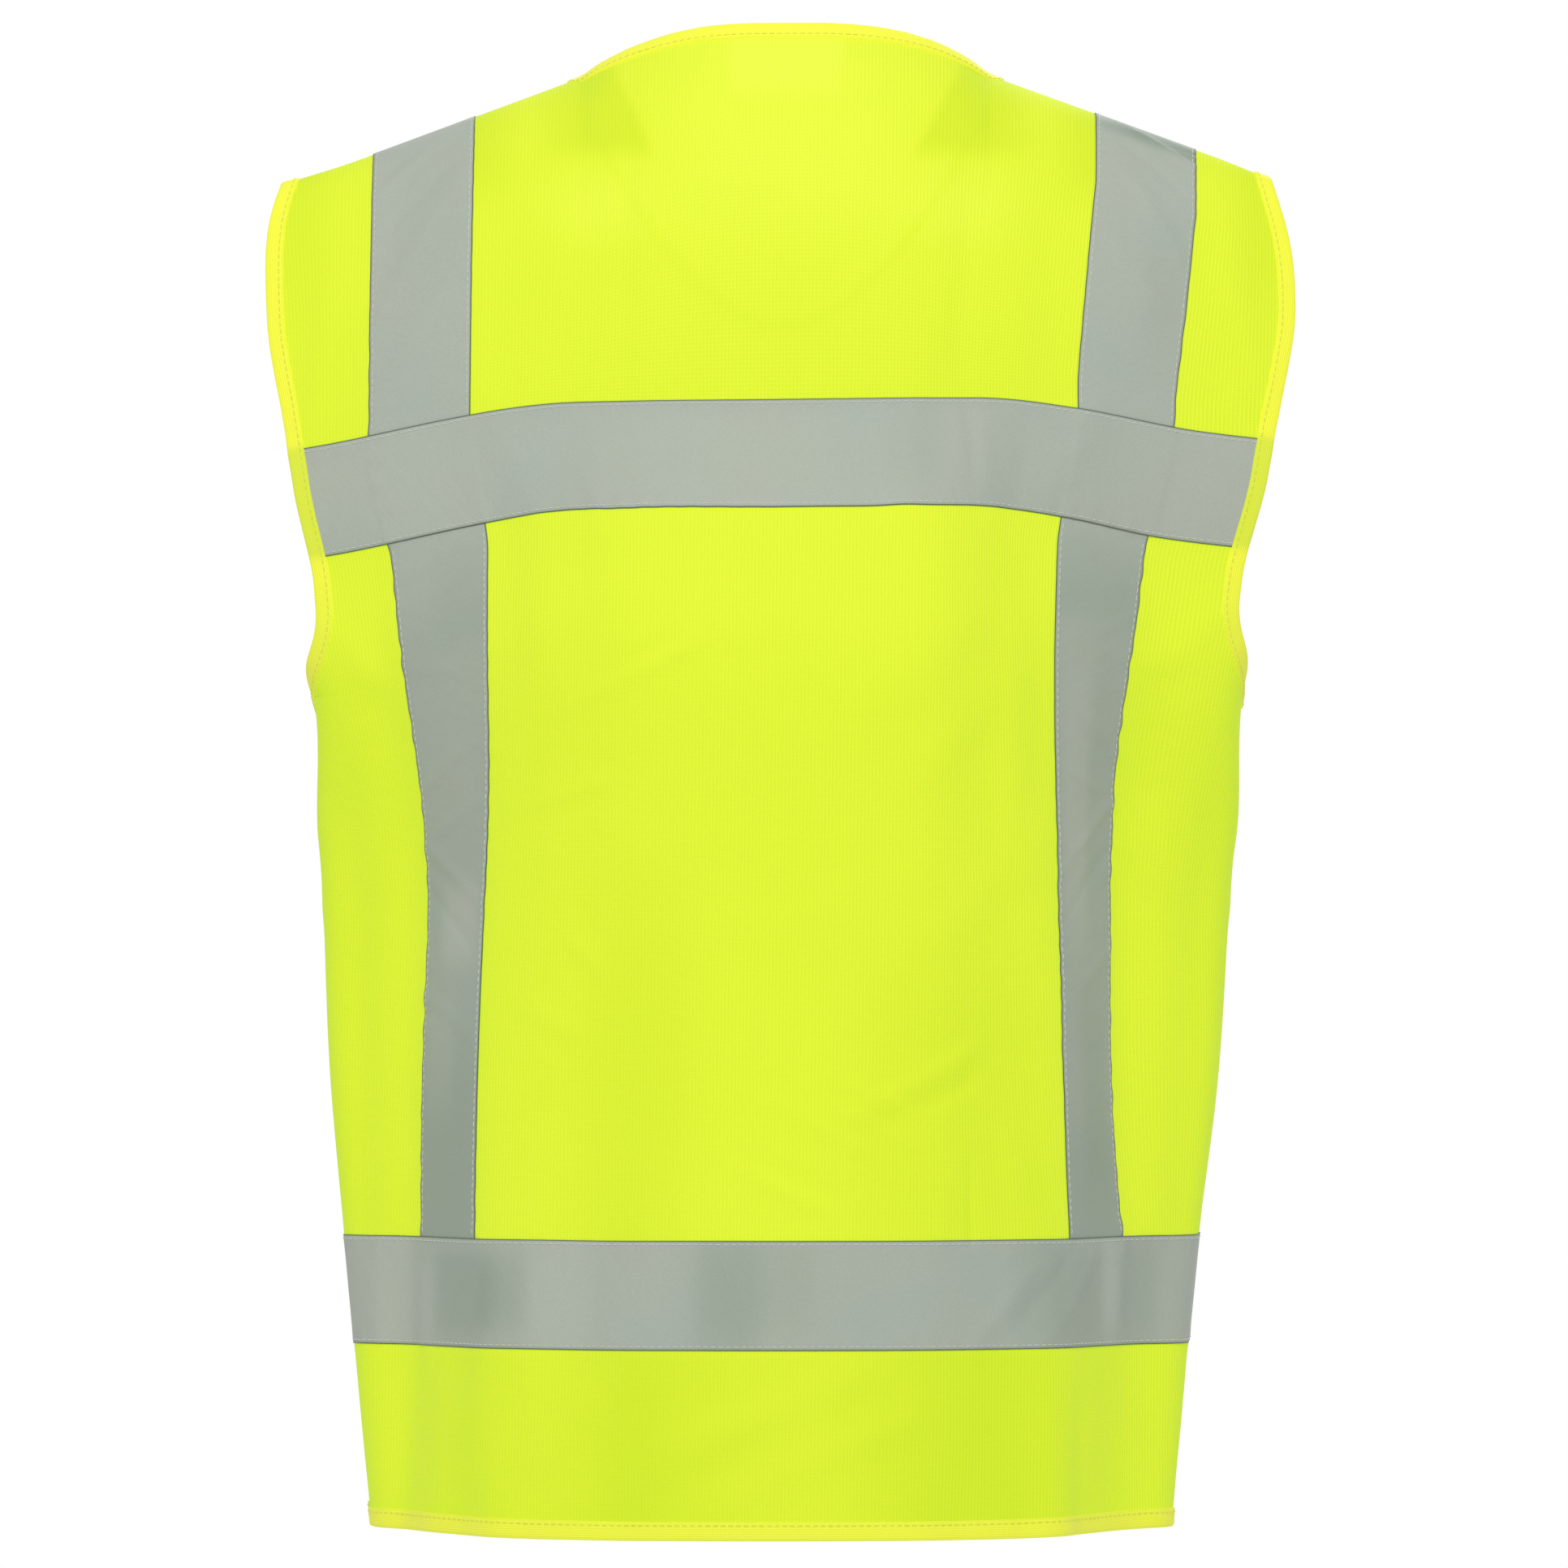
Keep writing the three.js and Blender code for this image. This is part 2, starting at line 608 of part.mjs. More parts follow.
// ---- Labels: one hangs from the neck binding, one lies along the left side seam ----
const neckSeam = place(1, false, 0, neckInner(0).y);
const neckHang = offset(neckSeam, -bindingOutside - labelStandOff);
const sizeSlab = new THREE.BoxGeometry(labelWidth, labelThickness, labelDrop);
sizeSlab.translate(0, neckHang.y, neckHang.z - labelDrop / 2);
add('size_label', sizeSlab, 'label');

const seam = place(1, false, halfGirth - 1, careLabelTop - careLabelHeight);
const careSlab = new THREE.BoxGeometry(labelThickness, careLabelWidth, careLabelHeight);
careSlab.translate(
  seam.point.x - labelStandOff,
  seam.point.y + careLabelWidth / 2,
  careLabelTop - careLabelHeight / 2,
);
add('care_label', careSlab, 'label');

export default vest;
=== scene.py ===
import math

import bmesh
import bpy
import numpy as np
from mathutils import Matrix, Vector


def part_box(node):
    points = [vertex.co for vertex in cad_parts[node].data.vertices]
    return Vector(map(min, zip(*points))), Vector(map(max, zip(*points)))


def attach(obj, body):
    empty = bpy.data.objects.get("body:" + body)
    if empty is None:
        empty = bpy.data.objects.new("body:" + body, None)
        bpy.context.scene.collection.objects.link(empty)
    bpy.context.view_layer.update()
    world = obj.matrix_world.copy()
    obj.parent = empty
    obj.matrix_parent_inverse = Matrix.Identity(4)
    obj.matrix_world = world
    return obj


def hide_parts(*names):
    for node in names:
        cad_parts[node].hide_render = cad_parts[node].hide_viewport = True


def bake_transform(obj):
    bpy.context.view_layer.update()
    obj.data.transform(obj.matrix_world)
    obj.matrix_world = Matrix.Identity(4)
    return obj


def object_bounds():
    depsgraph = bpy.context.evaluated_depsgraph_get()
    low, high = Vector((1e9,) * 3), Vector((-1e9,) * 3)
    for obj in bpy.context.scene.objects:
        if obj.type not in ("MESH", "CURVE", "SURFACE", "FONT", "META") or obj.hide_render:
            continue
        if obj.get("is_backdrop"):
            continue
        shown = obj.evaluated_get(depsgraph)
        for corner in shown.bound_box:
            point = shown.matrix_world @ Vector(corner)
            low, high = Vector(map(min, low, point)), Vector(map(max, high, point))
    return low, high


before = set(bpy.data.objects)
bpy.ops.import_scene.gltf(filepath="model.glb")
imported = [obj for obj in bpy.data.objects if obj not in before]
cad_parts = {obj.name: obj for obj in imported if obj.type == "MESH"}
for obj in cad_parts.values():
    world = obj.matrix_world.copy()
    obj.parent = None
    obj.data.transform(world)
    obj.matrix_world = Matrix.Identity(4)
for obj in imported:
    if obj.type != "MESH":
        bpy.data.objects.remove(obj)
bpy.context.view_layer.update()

# ----------
# The room: a white one with a pale floor well below the hem, a long lens eight metres behind
# the hanging vest, a big soft light high over the lens and another one on the front's side.
# ----------
EYE = (-0.003, 8.0, -0.327)


def placed(name, data):
    """A new object in the scene."""
    made = bpy.data.objects.new(name, data)
    bpy.context.collection.objects.link(made)
    return made


camera = placed("camera", bpy.data.cameras.new("camera"))
camera.data.lens = 396.8
camera.data.clip_end = 100.0
camera.location = EYE
camera.rotation_euler = (math.radians(90), 0.0, math.radians(180))
bpy.context.scene.camera = camera
bpy.context.scene.view_settings.view_transform = "Standard"

world = bpy.data.worlds.new("white_room")
world.use_nodes = True
walls = world.node_tree.nodes["Background"]
walls.inputs["Color"].default_value = (1.0, 1.0, 1.0, 1.0)
WALL_LIGHT = 0.62  # the room is pure white to look at, but lights the vest only this far
rays = world.node_tree.nodes.new("ShaderNodeLightPath")
room = world.node_tree.nodes.new("ShaderNodeMapRange")
room.inputs["To Min"].default_value = WALL_LIGHT
world.node_tree.links.new(rays.outputs["Is Camera Ray"], room.inputs["Value"])
world.node_tree.links.new(room.outputs["Result"], walls.inputs["Strength"])
bpy.context.scene.world = world


def soft_light(name, place, aim, size, watts):
    """A square area light at place, turned to face aim."""
    light = placed(name, bpy.data.lights.new(name, "AREA"))
    light.data.size = size
    light.data.energy = watts
    light.location = place
    light.rotation_euler = (Vector(aim) - Vector(place)).to_track_quat("-Z", "Y").to_euler()


soft_light("light_over_camera", (0.15, 3.0, 2.1), (0, 0, -0.3), 1.6, 58)
soft_light("light_front", (-0.8, -3.0, 1.9), (0, 0, -0.3), 1.8, 44)

floor_size, floor_level = 3.0, -1.15
floor_mesh = bpy.data.meshes.new("floor")
corners = np.array([(-1, -1), (1, -1), (1, 1), (-1, 1)]) * floor_size
floor_mesh.from_pydata([(x, y, floor_level) for x, y in corners], [], [(0, 1, 2, 3)])
floor = placed("floor", floor_mesh)
floor_paint = bpy.data.materials.new("pale_floor")
floor_paint.use_nodes = True
floor_paint.node_tree.nodes["Principled BSDF"].inputs["Base Color"].default_value = (0.86, 0.86, 0.85, 1)
floor_paint.node_tree.nodes["Principled BSDF"].inputs["Roughness"].default_value = 0.6
floor_mesh.materials.append(floor_paint)
floor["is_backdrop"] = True

# ----------
# The body: a back and two fronts of knitted polyester, cut flat, sewn at shoulders and sides
# and hung from the shoulder seams; it turns in behind the stiff brace tapes and flares beside
# them. Places on the cut are in millimetres: s round the body from the centre, v up it.
# ----------
HEM, CHEST, WAIST = -670.5, -151.0, -535.0  # hem, top of chest tape, top of waist tape
TAPE = 50.0  # tape width
GIRTH = 292.0  # centre back to side seam
NECK, SHOULDER, SHOULDER_FALL = 94.0, 236.0, 0.366
SEAM_DEPTH, SIDE_SHIFT, NECK_RISE = 15.0, 30.0, 45.0
UPPER_RUN = 165.0  # cloth from the chest level to the shoulder seam
RIDGE = CHEST + UPPER_RUN
BRACE_IN, BRACE_OUT = 146.0, 196.0
SIDE_TURN, SIDE_BEND, SIDE_TAPER, SIDE_DROP = 252, 34, 0.11, 22
ARM_BACK, ARM_FRONT, ARM_BOTTOM, ARM_CURVE, ARM_IN = 246.0, 226.0, -268.0, 44.0, 11.0
LAP, NECK_POINT = 20.0, -134.0
STRAIGHT = 0.7  # share of the front that hangs straight
FOLD_HEM, FOLD_TOP, FOLD_DEPTH_HEM, FOLD_DEPTH_TOP = 134.0, 104.0, -112.0, -46.0
LEAN = 3.7  # the vest hangs this much out of plumb


def rise(x, a, b):
    """0 before a, 1 after b; between, three times t squared less twice t cubed, t the share."""
    t = np.clip((np.asarray(x, float) - a) / (b - a), 0, 1)
    return t * t * (3 - 2 * t)


def turning(s, v):
    """Angle in degrees between the cloth and straight across the back, s from the centre."""
    slack, hollow = rise(v, -140, -400), rise(v, -151, -215)
    centre, inner = 6 + 2 * slack, 16 + 18 * hollow - 8 * rise(v, -300, -480)
    brace, flare = 20 + 40 * slack, 24 + 6 * hollow
    side = (SIDE_TURN - 24 * rise(v, -200, -262) + 12.5 * rise(v, -262, -345)
            - SIDE_TAPER * np.maximum(-380 - v, 0))
    return (centre * rise(s, 0, 60) + (inner - centre) * rise(s, 50, 90)
            + (brace - inner) * rise(s, 122, 158) + (flare - brace) * rise(s, 192, 222)
            + (90 - flare) * rise((s - side) / SIDE_BEND, 0, 1))


S_STEP, V_STEP = 2.0, 2.0
v_levels = np.arange(HEM - 10, CHEST + V_STEP, V_STEP)
angles = np.radians(turning(np.arange(1, 400, S_STEP)[None, :], np.minimum(v_levels, CHEST)[:, None]))
start_column = np.zeros((len(v_levels), 1))
ACROSS = np.hstack([start_column, np.cumsum(S_STEP * np.cos(angles), axis=1)])
DEPTH = np.hstack([start_column, np.cumsum(S_STEP * np.sin(angles), axis=1)])


def read(table, s, v):
    """Straight-line reading of a running-sum table at pattern place (|s|, v)."""
    i = np.clip((np.minimum(v, CHEST) - v_levels[0]) / V_STEP, 0, len(v_levels) - 1.001)
    j = np.clip(np.abs(s) / S_STEP, 0, table.shape[1] - 1.001)
    i, j = np.broadcast_arrays(i, j)
    a, b = i.astype(int), j.astype(int)
    p, q = i - a, j - b
    return ((1 - p) * ((1 - q) * table[a, b] + q * table[a, b + 1])
            + p * ((1 - q) * table[a + 1, b] + q * table[a + 1, b + 1]))


def across(s, v):
    """How far out from the centre line the cloth has come: the running sum of cosines."""
    return np.sign(s) * read(ACROSS, s, v)


def depth_to_side(s, v):
    """How far the cloth stands behind the side seam: the running sum of sines from s on."""
    return read(DEPTH, GIRTH, v) - read(DEPTH, s, v)


def seam_depth(v):
    """The side seam's own depth: it comes forward by 30 mm below the chest."""
    return -SIDE_SHIFT * rise(v, CHEST, -420)


def ridge_height(s):
    """Height of the shoulder line: a rising curve behind the neck, then a straight fall."""
    out = np.abs(s) / NECK
    fall = read(ACROSS, s, CHEST) - read(ACROSS, NECK, CHEST)
    return np.where(out < 1, NECK_RISE * (1 - np.minimum(out, 1) ** 2.3), -SHOULDER_FALL * fall)


def body_height(s, v):
    """Height of pattern level v: level at the middle, dropping towards the sides."""
    return v - SIDE_DROP * rise(np.abs(s), 90, 270) * rise(v, -450, -201)


def back_surface(s, v):
    """Running sums of the section below the chest, quarter ellipses up to the shoulders."""
    s, v = np.broadcast_arrays(np.asarray(s, float), np.asarray(v, float))
    angle = np.radians(90) * np.maximum(v - CHEST, 0) / UPPER_RUN
    base = body_height(s, np.minimum(v, CHEST))
    reach = depth_to_side(s, v) - np.where(v > CHEST, SEAM_DEPTH, 0)
    rest = np.where(v > CHEST, SEAM_DEPTH, seam_depth(v))
    return np.stack([across(s, v), rest + reach * np.cos(angle),
                     base + (ridge_height(s) - base) * np.sin(angle)], axis=-1)


FOLD_TOP_LEVEL = CHEST * (1 - STRAIGHT)


def fold_place(z):
    """Pattern place of the swing fold at height z: a straight line from hem to chest."""
    return FOLD_HEM + (FOLD_TOP - FOLD_HEM) * (z - HEM) / (FOLD_TOP_LEVEL - HEM)


def front_depth(s, z):
    """The chest section, deepened at each height so that the swing fold is straight."""
    share = (z - HEM) / (FOLD_TOP_LEVEL - HEM)
    fold = FOLD_DEPTH_HEM + (FOLD_DEPTH_TOP - FOLD_DEPTH_HEM) * share
    seam = seam_depth(z)
    return seam + (fold - seam) * depth_to_side(s, CHEST) / depth_to_side(fold_place(z), CHEST)


def front_surface(s, v):
    """A straight hang from hem to upper chest, then a quarter ellipse over to the shoulder."""
    s, v = np.broadcast_arrays(np.asarray(s, float), np.asarray(v, float))
    shift = across(GIRTH, v) - across(GIRTH, CHEST)
    x = across(s, CHEST) + shift * rise(np.abs(s), BRACE_IN, GIRTH)
    share = np.clip(1 - v / CHEST, 0, 1)
    angle = np.radians(90) * np.clip((share - 0.5) / 0.5, 0, 1)
    climb = STRAIGHT * np.clip(share / 0.5, 0, 1) + (1 - STRAIGHT) * np.sin(angle)
    base = body_height(s, np.minimum(v, CHEST))
    z = base + (ridge_height(s) - base) * climb
    hang = front_depth(s, z)
    return np.stack([x, hang + (SEAM_DEPTH - hang) * (1 - np.cos(angle)), z], axis=-1)


# Soft folds in the back: the two ends on the pattern (+ is the wearer's left), half width
# and height. A minus height is a hollow.
back_folds = [
    (-52, -90, -60, -190, 16, 1.2), (52, -80, 62, -190, 20, 1.0), (72, -46, 72, -140, 7, -1.0),
    (-86, -78, -84, -142, 8, -1.1), (-104, -40, -116, -140, 16, 1.4), (100, -50, 112, -140, 16, 1.2),
    (50, -321, 77, -535, 26, -3.4), (32, -350, 26, -545, 17, 2.0), (104, -210, 108, -520, 20, 1.6),
    (99, -291, 43, -265, 7, 1.5), (86, -280, 50, -262, 6, -0.9), (124, -337, 85, -326, 6, 1.3),
    (98, -397, 84, -410, 6, 1.1), (120, -428, 96, -440, 7, 1.0), (17, -502, -17, -519, 5, 1.7),
    (6, -497, -24, -514, 5, -1.0), (-2, -472, -36, -492, 6, 1.3), (-25, -462, -62, -477, 5, 1.3),
    (-35, -479, -94, -449, 7, 1.6), (-46, -484, -92, -464, 6, -1.2), (-20, -470, -60, -490, 6, 0.9),
    (-93, -499, -93, -534, 4, -1.5), (-80, -505, -78, -534, 6, 0.8), (-122, -262, -118, -340, 11, 1.8),
    (-112, -480, -124, -530, 10, 1.3), (-60, -330, -100, -292, 12, 1.0), (-24, -300, -84, -262, 14, 0.8),
    (-70, -400, -124, -360, 12, 1.0), (0, -390, -60, -372, 12, 0.7), (115, -206, 118, -262, 12, 1.2),
    (224, -290, 214, -530, 13, 2.4), (244, -330, 232, -530, 9, -1.6), (-226, -290, -214, -530, 13, 2.2),
    (-244, -330, -232, -530, 9, -1.5), (206, -212, 212, -290, 10, -1.4), (-208, -215, -214, -320, 11, -1.7),
    (236, -228, 214, -262, 8, 1.2), (-236, -228, -212, -256, 8, 1.0), (214, -70, 226, -140, 8, 1.1),
    (-212, -60, -228, -130, 9, 1.2), (-216, -110, -236, -150, 6, -0.9), (60, -590, 72, -668, 20, -2.4),
    (82, -655, -36, -597, 9, 1.3), (40, -662, -60, -618, 8, 1.1), (0, -612, 44, -628, 8, 1.2),
    (-70, -592, -104, -664, 17, 1.6), (-130, -590, -136, -668, 12, 1.9), (-156, -592, -158, -668, 10, -1.3),
    (122, -645, 90, -612, 9, 1.4), (172, -590, 178, -668, 14, 2.0), (204, -592, 206, -668, 10, -1.4),
    (-204, -592, -206, -668, 12, 1.4), (30, -540, 16, -584, 9, -1.0), (8, -538, 2, -584, 7, 0.9),
    (-92, -586, -122, -552, 7, 1.4), (-106, -586, -150, -540, 6, -1.2), (-128, -586, -164, -548, 7, 1.3),
    (-186, -584, -196, -540, 9, 1.0), (112, -540, 118, -586, 14, 1.3), (150, -538, 154, -586, 12, -1.2),
    (182, -538, 186, -586, 9, 1.3), (-60, -156, -56, -200, 9, 0.8), (-96, -200, -90, -158, 7, -1.0),
    (84, -156, 88, -200, 10, 0.8), (-134, -200, -150, -158, 9, 1.1), (120, -200, 132, -158, 10, 0.9),
]
# Short creases pressed across the brace tapes where the cloth behind them is slack.
brace_creases = [
    (150, -380, 192, -352, 5, 1.4), (152, -404, 190, -376, 5, -1.1), (154, -300, 186, -318, 6, 1.1),
    (150, -330, 188, -345, 5, 0.9), (155, -440, 190, -425, 6, 1.0), (152, -226, 182, -246, 6, 1.2),
    (160, -214, 192, -224, 5, -0.9), (158, -60, 190, -104, 7, 1.3), (152, -96, 180, -124, 6, 1.0),
    (160, -16, 190, -44, 6, 1.3), (150, -36, 184, -66, 6, -1.0), (158, -268, 190, -262, 6, 0.8),
]
for s_a, v_a, s_b, v_b, half, height in brace_creases:
    back_folds.append((s_a, v_a, s_b, v_b, half, height))
    back_folds.append((-s_a, v_a + 14, -s_b, v_b + 20, half, height))
front_folds = [
    (40, -230, 70, -420, 26, 1.4), (96, -210, 90, -380, 20, -1.3), (30, -480, 60, -640, 24, 1.2),
    (210, -300, 200, -520, 20, 1.6), (180, -600, 176, -660, 16, 1.3), (110, -560, 116, -655, 18, 1.2),
    (60, -300, 100, -270, 12, 0.8), (150, -40, 186, -90, 10, 0.8), (20, -350, 84, -330, 12, 0.7),
]

SHARP = 8  # creases narrower than this are pressed ones
rng = np.random.default_rng(20471)
waves = [(rng.uniform(-1, 1, 2), rng.uniform(60, 190), rng.uniform(0, 6.28)) for _ in range(14)]


def crease(s, v, fold):
    """A bell curve of the distance to a line, height tall, faded past the line's two ends."""
    s_a, v_a, s_b, v_b, half, height = fold
    if half < SHARP:
        half, height = 0.68 * half, 0.72 * height
    along = np.array([s_b - s_a, v_b - v_a], float)
    length = np.hypot(*along)
    t = ((s - s_a) * along[0] + (v - v_a) * along[1]) / length**2
    d = ((s - s_a) * along[1] - (v - v_a) * along[0]) / length
    past = np.maximum(np.maximum(-t, t - 1), 0) * length
    ends = np.exp(-((d / half) ** 2) - (past / (1.6 * half)) ** 2)
    return height * ends * (0.35 + 0.65 * rise(t, -0.1, 0.5))


def pucker(distance, place, phase):
    """Small gathers that a line of stitching pulls up: a decaying ripple along the edge."""
    ripple = np.sin(place / 2.1 + phase + 1.8 * np.sin(place / 17.0 + phase))
    strength = 0.5 + 0.5 * np.sin(place / 41.0 + 2 * phase)
    return 0.22 * ripple * np.exp(-((distance / 5.0) ** 2)) * strength


def drape(front, s, v):
    """How far the cloth stands off its smooth hang, in millimetres, outwards."""
    lift = np.zeros(np.broadcast(s, v).shape)
    for fold in (front_folds if front else back_folds):
        lift = lift + crease(np.abs(s) if front else s, v, fold)
    for direction, length, phase in waves:
        unit = direction / np.hypot(*direction)
        lift = lift + 0.16 * np.sin(6.283 * (unit[0] * s + 0.45 * unit[1] * v) / length + phase)
    size = np.abs(s)
    on_brace = rise(v, WAIST - 12, WAIST)
    for edge, phase in ((BRACE_IN + 2, 0.4), (BRACE_OUT - 2, 2.2)):
        lift = lift + on_brace * pucker(size - edge, v, phase + np.sign(s))
    for edge, phase in ((CHEST - 2, 1.0), (CHEST - TAPE + 2, 2.9),
                        (WAIST - 2, 0.1), (WAIST - TAPE + 2, 4.4)):
        lift = lift + pucker(v - edge, s, phase)
    hem_fade = rise(v, HEM + 46, HEM)
    lift = lift + hem_fade * (1.3 * np.sin(s / 19.0 + 0.6) * np.sin(s / 43.0) + 0.35 * np.sin(s / 6.3))
    return lift * rise(RIDGE - v if not front else -v, 0, 26)


# The right brace hangs nearer the middle than the left: how far, at its two edges. The left
# end of the chest tape hangs lower, and both shoulder tips and armhole feet are off square.
PULL_AT = (-535, -505, -480, -450, -420, -390, -350, -322, -292, -262, -200, -140, -105, -60)
PULL_INNER = (0, 2, 3.5, 5, 5, 5, 5, 5.5, 6.3, 6.8, 6.8, 7.5, 4, 0)
PULL_OUTER = (1.5, 4, 6, 7, 6.5, 5.5, 7, 9.5, 11, 11.5, 11, 8.5, 4, 0)
PULL_END = 240.0
HEM_END_LIFT = 2.2  # the hem climbs this much towards its two ends
CHEST_TILT = 2.4
ARM_REACH = 236  # where the shoulder tips' own shift is whole
LEFT_TIP, LEFT_FOOT = (-60, 40, 6.2), (-249, 30, 6.2)
RIGHT_TIP, RIGHT_FOOT = (-46, 24, 3.0), (-236, 24, 2.2)


def hump(z, middle, half, height):
    """A bell curve: height times e to the minus square of (z less middle) over half."""
    return height * np.exp(-(((z - middle) / half) ** 2))


def uneven(point, place, v, front):
    """Draws the right back brace inwards, and lets the left side of the chest hang lower."""
    size = np.abs(place)
    inner, outer = np.interp(v, PULL_AT, PULL_INNER), np.interp(v, PULL_AT, PULL_OUTER)
    share = rise(size, 40, BRACE_IN) * inner
    share = np.where(size > BRACE_IN, inner + (outer - inner) * rise(size, BRACE_IN, BRACE_OUT), share)
    share = np.where(size > BRACE_OUT, outer * (1 - rise(size, BRACE_OUT, PULL_END)), share)
    if not front:
        point[..., 0] += np.where(place < 0, share, 0)
    low = rise(v, -450, -201) * (1 - 0.5 * rise(v, -120, 0))
    point[..., 2] -= CHEST_TILT * point[..., 0] / 220 * low
    point[..., 2] += HEM_END_LIFT * rise(np.abs(point[..., 0]), 100, 205) * rise(v, HEM + 90, HEM)
    z = point[..., 2]
    left_edge, right_edge = (rise(sign * point[..., 0], BRACE_OUT, ARM_REACH) for sign in (1, -1))
    point[..., 0] += left_edge * (hump(z, *LEFT_TIP) + hump(z, *LEFT_FOOT))
    point[..., 0] += right_edge * (hump(z, *RIGHT_TIP) - hump(z, *RIGHT_FOOT))
    point[..., 0] -= LEAN * (1 + 2 * point[..., 2] / -HEM)


def garment(side, front, s, v, level=0.0, lap=0.0):
    """Points in metres: the surface, plus drape and level along its normal, then the lean."""
    at = front_surface if front else back_surface
    s, v = np.broadcast_arrays(np.asarray(s, float), np.asarray(v, float))
    point = at(s, v)
    turn = np.cross(at(s + 0.5, v) - at(s - 0.5, v), point - at(s, v - 1.0))
    normal = turn / np.linalg.norm(turn, axis=-1, keepdims=True) * (1 if front else -1)
    out = drape(front, s * side, v) if not front else drape(True, s, v)
    out = out + level + lap * (1 - rise(s, 26, 62))
    point = point + normal * out[..., None]
    point = point * np.array([side, 1, 1])
    normal = normal * np.array([side, 1, 1])
    uneven(point, s * side, v, front)
    return point / 1000, normal


def arm_edge(v, front):
    """The armhole edge: nearly straight from the shoulder tip, then a quarter ellipse."""
    inset, top = (ARM_FRONT, 0.0) if front else (ARM_BACK, RIDGE)
    straight = (inset + (SHOULDER - inset) * rise(v, top - 110, top)
                - ARM_IN * rise(v, CHEST + 56, CHEST - 14))
    down = np.clip((ARM_BOTTOM + ARM_CURVE - v) / ARM_CURVE, 0, 1)
    curve = GIRTH - (GIRTH - inset + ARM_IN) * np.sqrt(1 - down**2)
    return np.where(v < ARM_BOTTOM, GIRTH, np.where(v < ARM_BOTTOM + ARM_CURVE, curve, straight))


def neck_top(s):
    """Pattern height of the back's top edge: an ellipse behind the neck, then the seam."""
    share = np.clip(np.abs(s) / NECK, 0, 1)
    return CHEST + UPPER_RUN * (90 - 28 * np.sqrt(1 - share**2)) / 90


def front_edge(v):
    """The front edge: 20 mm past the centre, then the rounded V of the neckline."""
    share = np.clip((v - NECK_POINT) / -NECK_POINT, 0, 1)
    return -LAP + (NECK + LAP) * (1 - (1 - share) ** 4)


# Each front would swing on a fold just inside its brace tape, given by its low and high ends in metres.
# swing() finds the fold's line and a facing square to it, forwards and inwards, but bends nothing.
SWING_LOW, SWING_HIGH = (0.104, -0.119, -0.67), (0.073, -0.057, -0.047)


def swing(piece, side):
    """Works out the fold's line and a facing square to it, then bakes the piece's transform into its mesh;
    nothing is blended.
    """
    low, high = np.array(SWING_LOW) * [side, 1, 1], np.array(SWING_HIGH) * [side, 1, 1]
    fold = (high - low) / np.linalg.norm(high - low)
    facing = np.array([-0.7 * side, -0.7, 0.0])
    facing = facing - fold * (facing @ fold)
    facing = facing / np.linalg.norm(facing)
    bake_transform(piece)


# ----------
# The back and front cloths: warp-knitted polyester, 0.6 mm thick, with fine upright wales,
# dyed through. The back is one piece; each front is one piece from side seam to front edge.
# ----------
CLOTH = 0.6
WALE, COURSE = 0.00165, 0.0011  # metres from wale to wale, and course to course


def node(tree, kind, **values):
    """A shader node with its plain inputs set by name, and its properties in lower case."""
    made = tree.nodes.new(kind)
    for name, value in values.items():
        if name[0].isupper():
            made.inputs[name.replace("_", " ")].default_value = value
        else:
            setattr(made, name, value)
    return made


def math_node(tree, operation, first, second=None):
    """A Math node fed by sockets or numbers."""
    made = tree.nodes.new("ShaderNodeMath")
    made.operation = operation
    for slot, value in enumerate((first, second)):
        if isinstance(value, (int, float)):
            made.inputs[slot].default_value = value
        elif value is not None:
            tree.links.new(value, made.inputs[slot])
    return made.outputs[0]


def times(tree, first, second):
    """first times second."""
    return math_node(tree, "MULTIPLY", first, second)


def plus(tree, first, second):
    """first plus second."""
    return math_node(tree, "ADD", first, second)


def new_paint(name, **values):
    """A material with its shader's plain inputs set: the material, its tree and its shader."""
    paint = bpy.data.materials.new(name)
    paint.use_nodes = True
    shader = paint.node_tree.nodes["Principled BSDF"]
    for key, value in values.items():
        shader.inputs[key.replace("_", " ")].default_value = value
    return paint, paint.node_tree, shader


def mixed(tree, share, first, second):
    """A colour between first and second; share is a socket or a number."""
    made = tree.nodes.new("ShaderNodeMix")
    made.data_type = "RGBA"
    if isinstance(share, float):
        made.inputs["Factor"].default_value = share
    else:
        tree.links.new(share, made.inputs["Factor"])
    for slot, value in (("A", first), ("B", second)):
        socket = [x for x in made.inputs if x.name == slot and x.type == "RGBA"][0]
        if isinstance(value, tuple):
            socket.default_value = value
        else:
            tree.links.new(value, socket)
    return [x for x in made.outputs if x.type == "RGBA"][0]


def pattern_axes(tree):
    """The cut's own s and v, in metres, from the piece's UV map."""
    where = tree.nodes.new("ShaderNodeUVMap")
    where.uv_map = "pattern"
    split = tree.nodes.new("ShaderNodeSeparateXYZ")
    tree.links.new(where.outputs["UV"], split.inputs[0])
    return split.outputs["X"], split.outputs["Y"]


def wave(tree, axis, pitch):
    """A sine of the axis, one turn to each pitch, brought between 0 and 1."""
    turned = times(tree, axis, 2 * math.pi / pitch)
    return plus(tree, times(tree, math_node(tree, "SINE", turned), 0.5), 0.5)


def mottle(tree, scale, detail=3.0):
    """Cloudy 0 to 1 noise on the piece's own place."""
    where = tree.nodes.new("ShaderNodeTexCoord")
    noise = node(tree, "ShaderNodeTexNoise", Scale=scale, Detail=detail, Roughness=0.55)
    tree.links.new(where.outputs["Object"], noise.inputs["Vector"])
    return noise.outputs["Fac"]


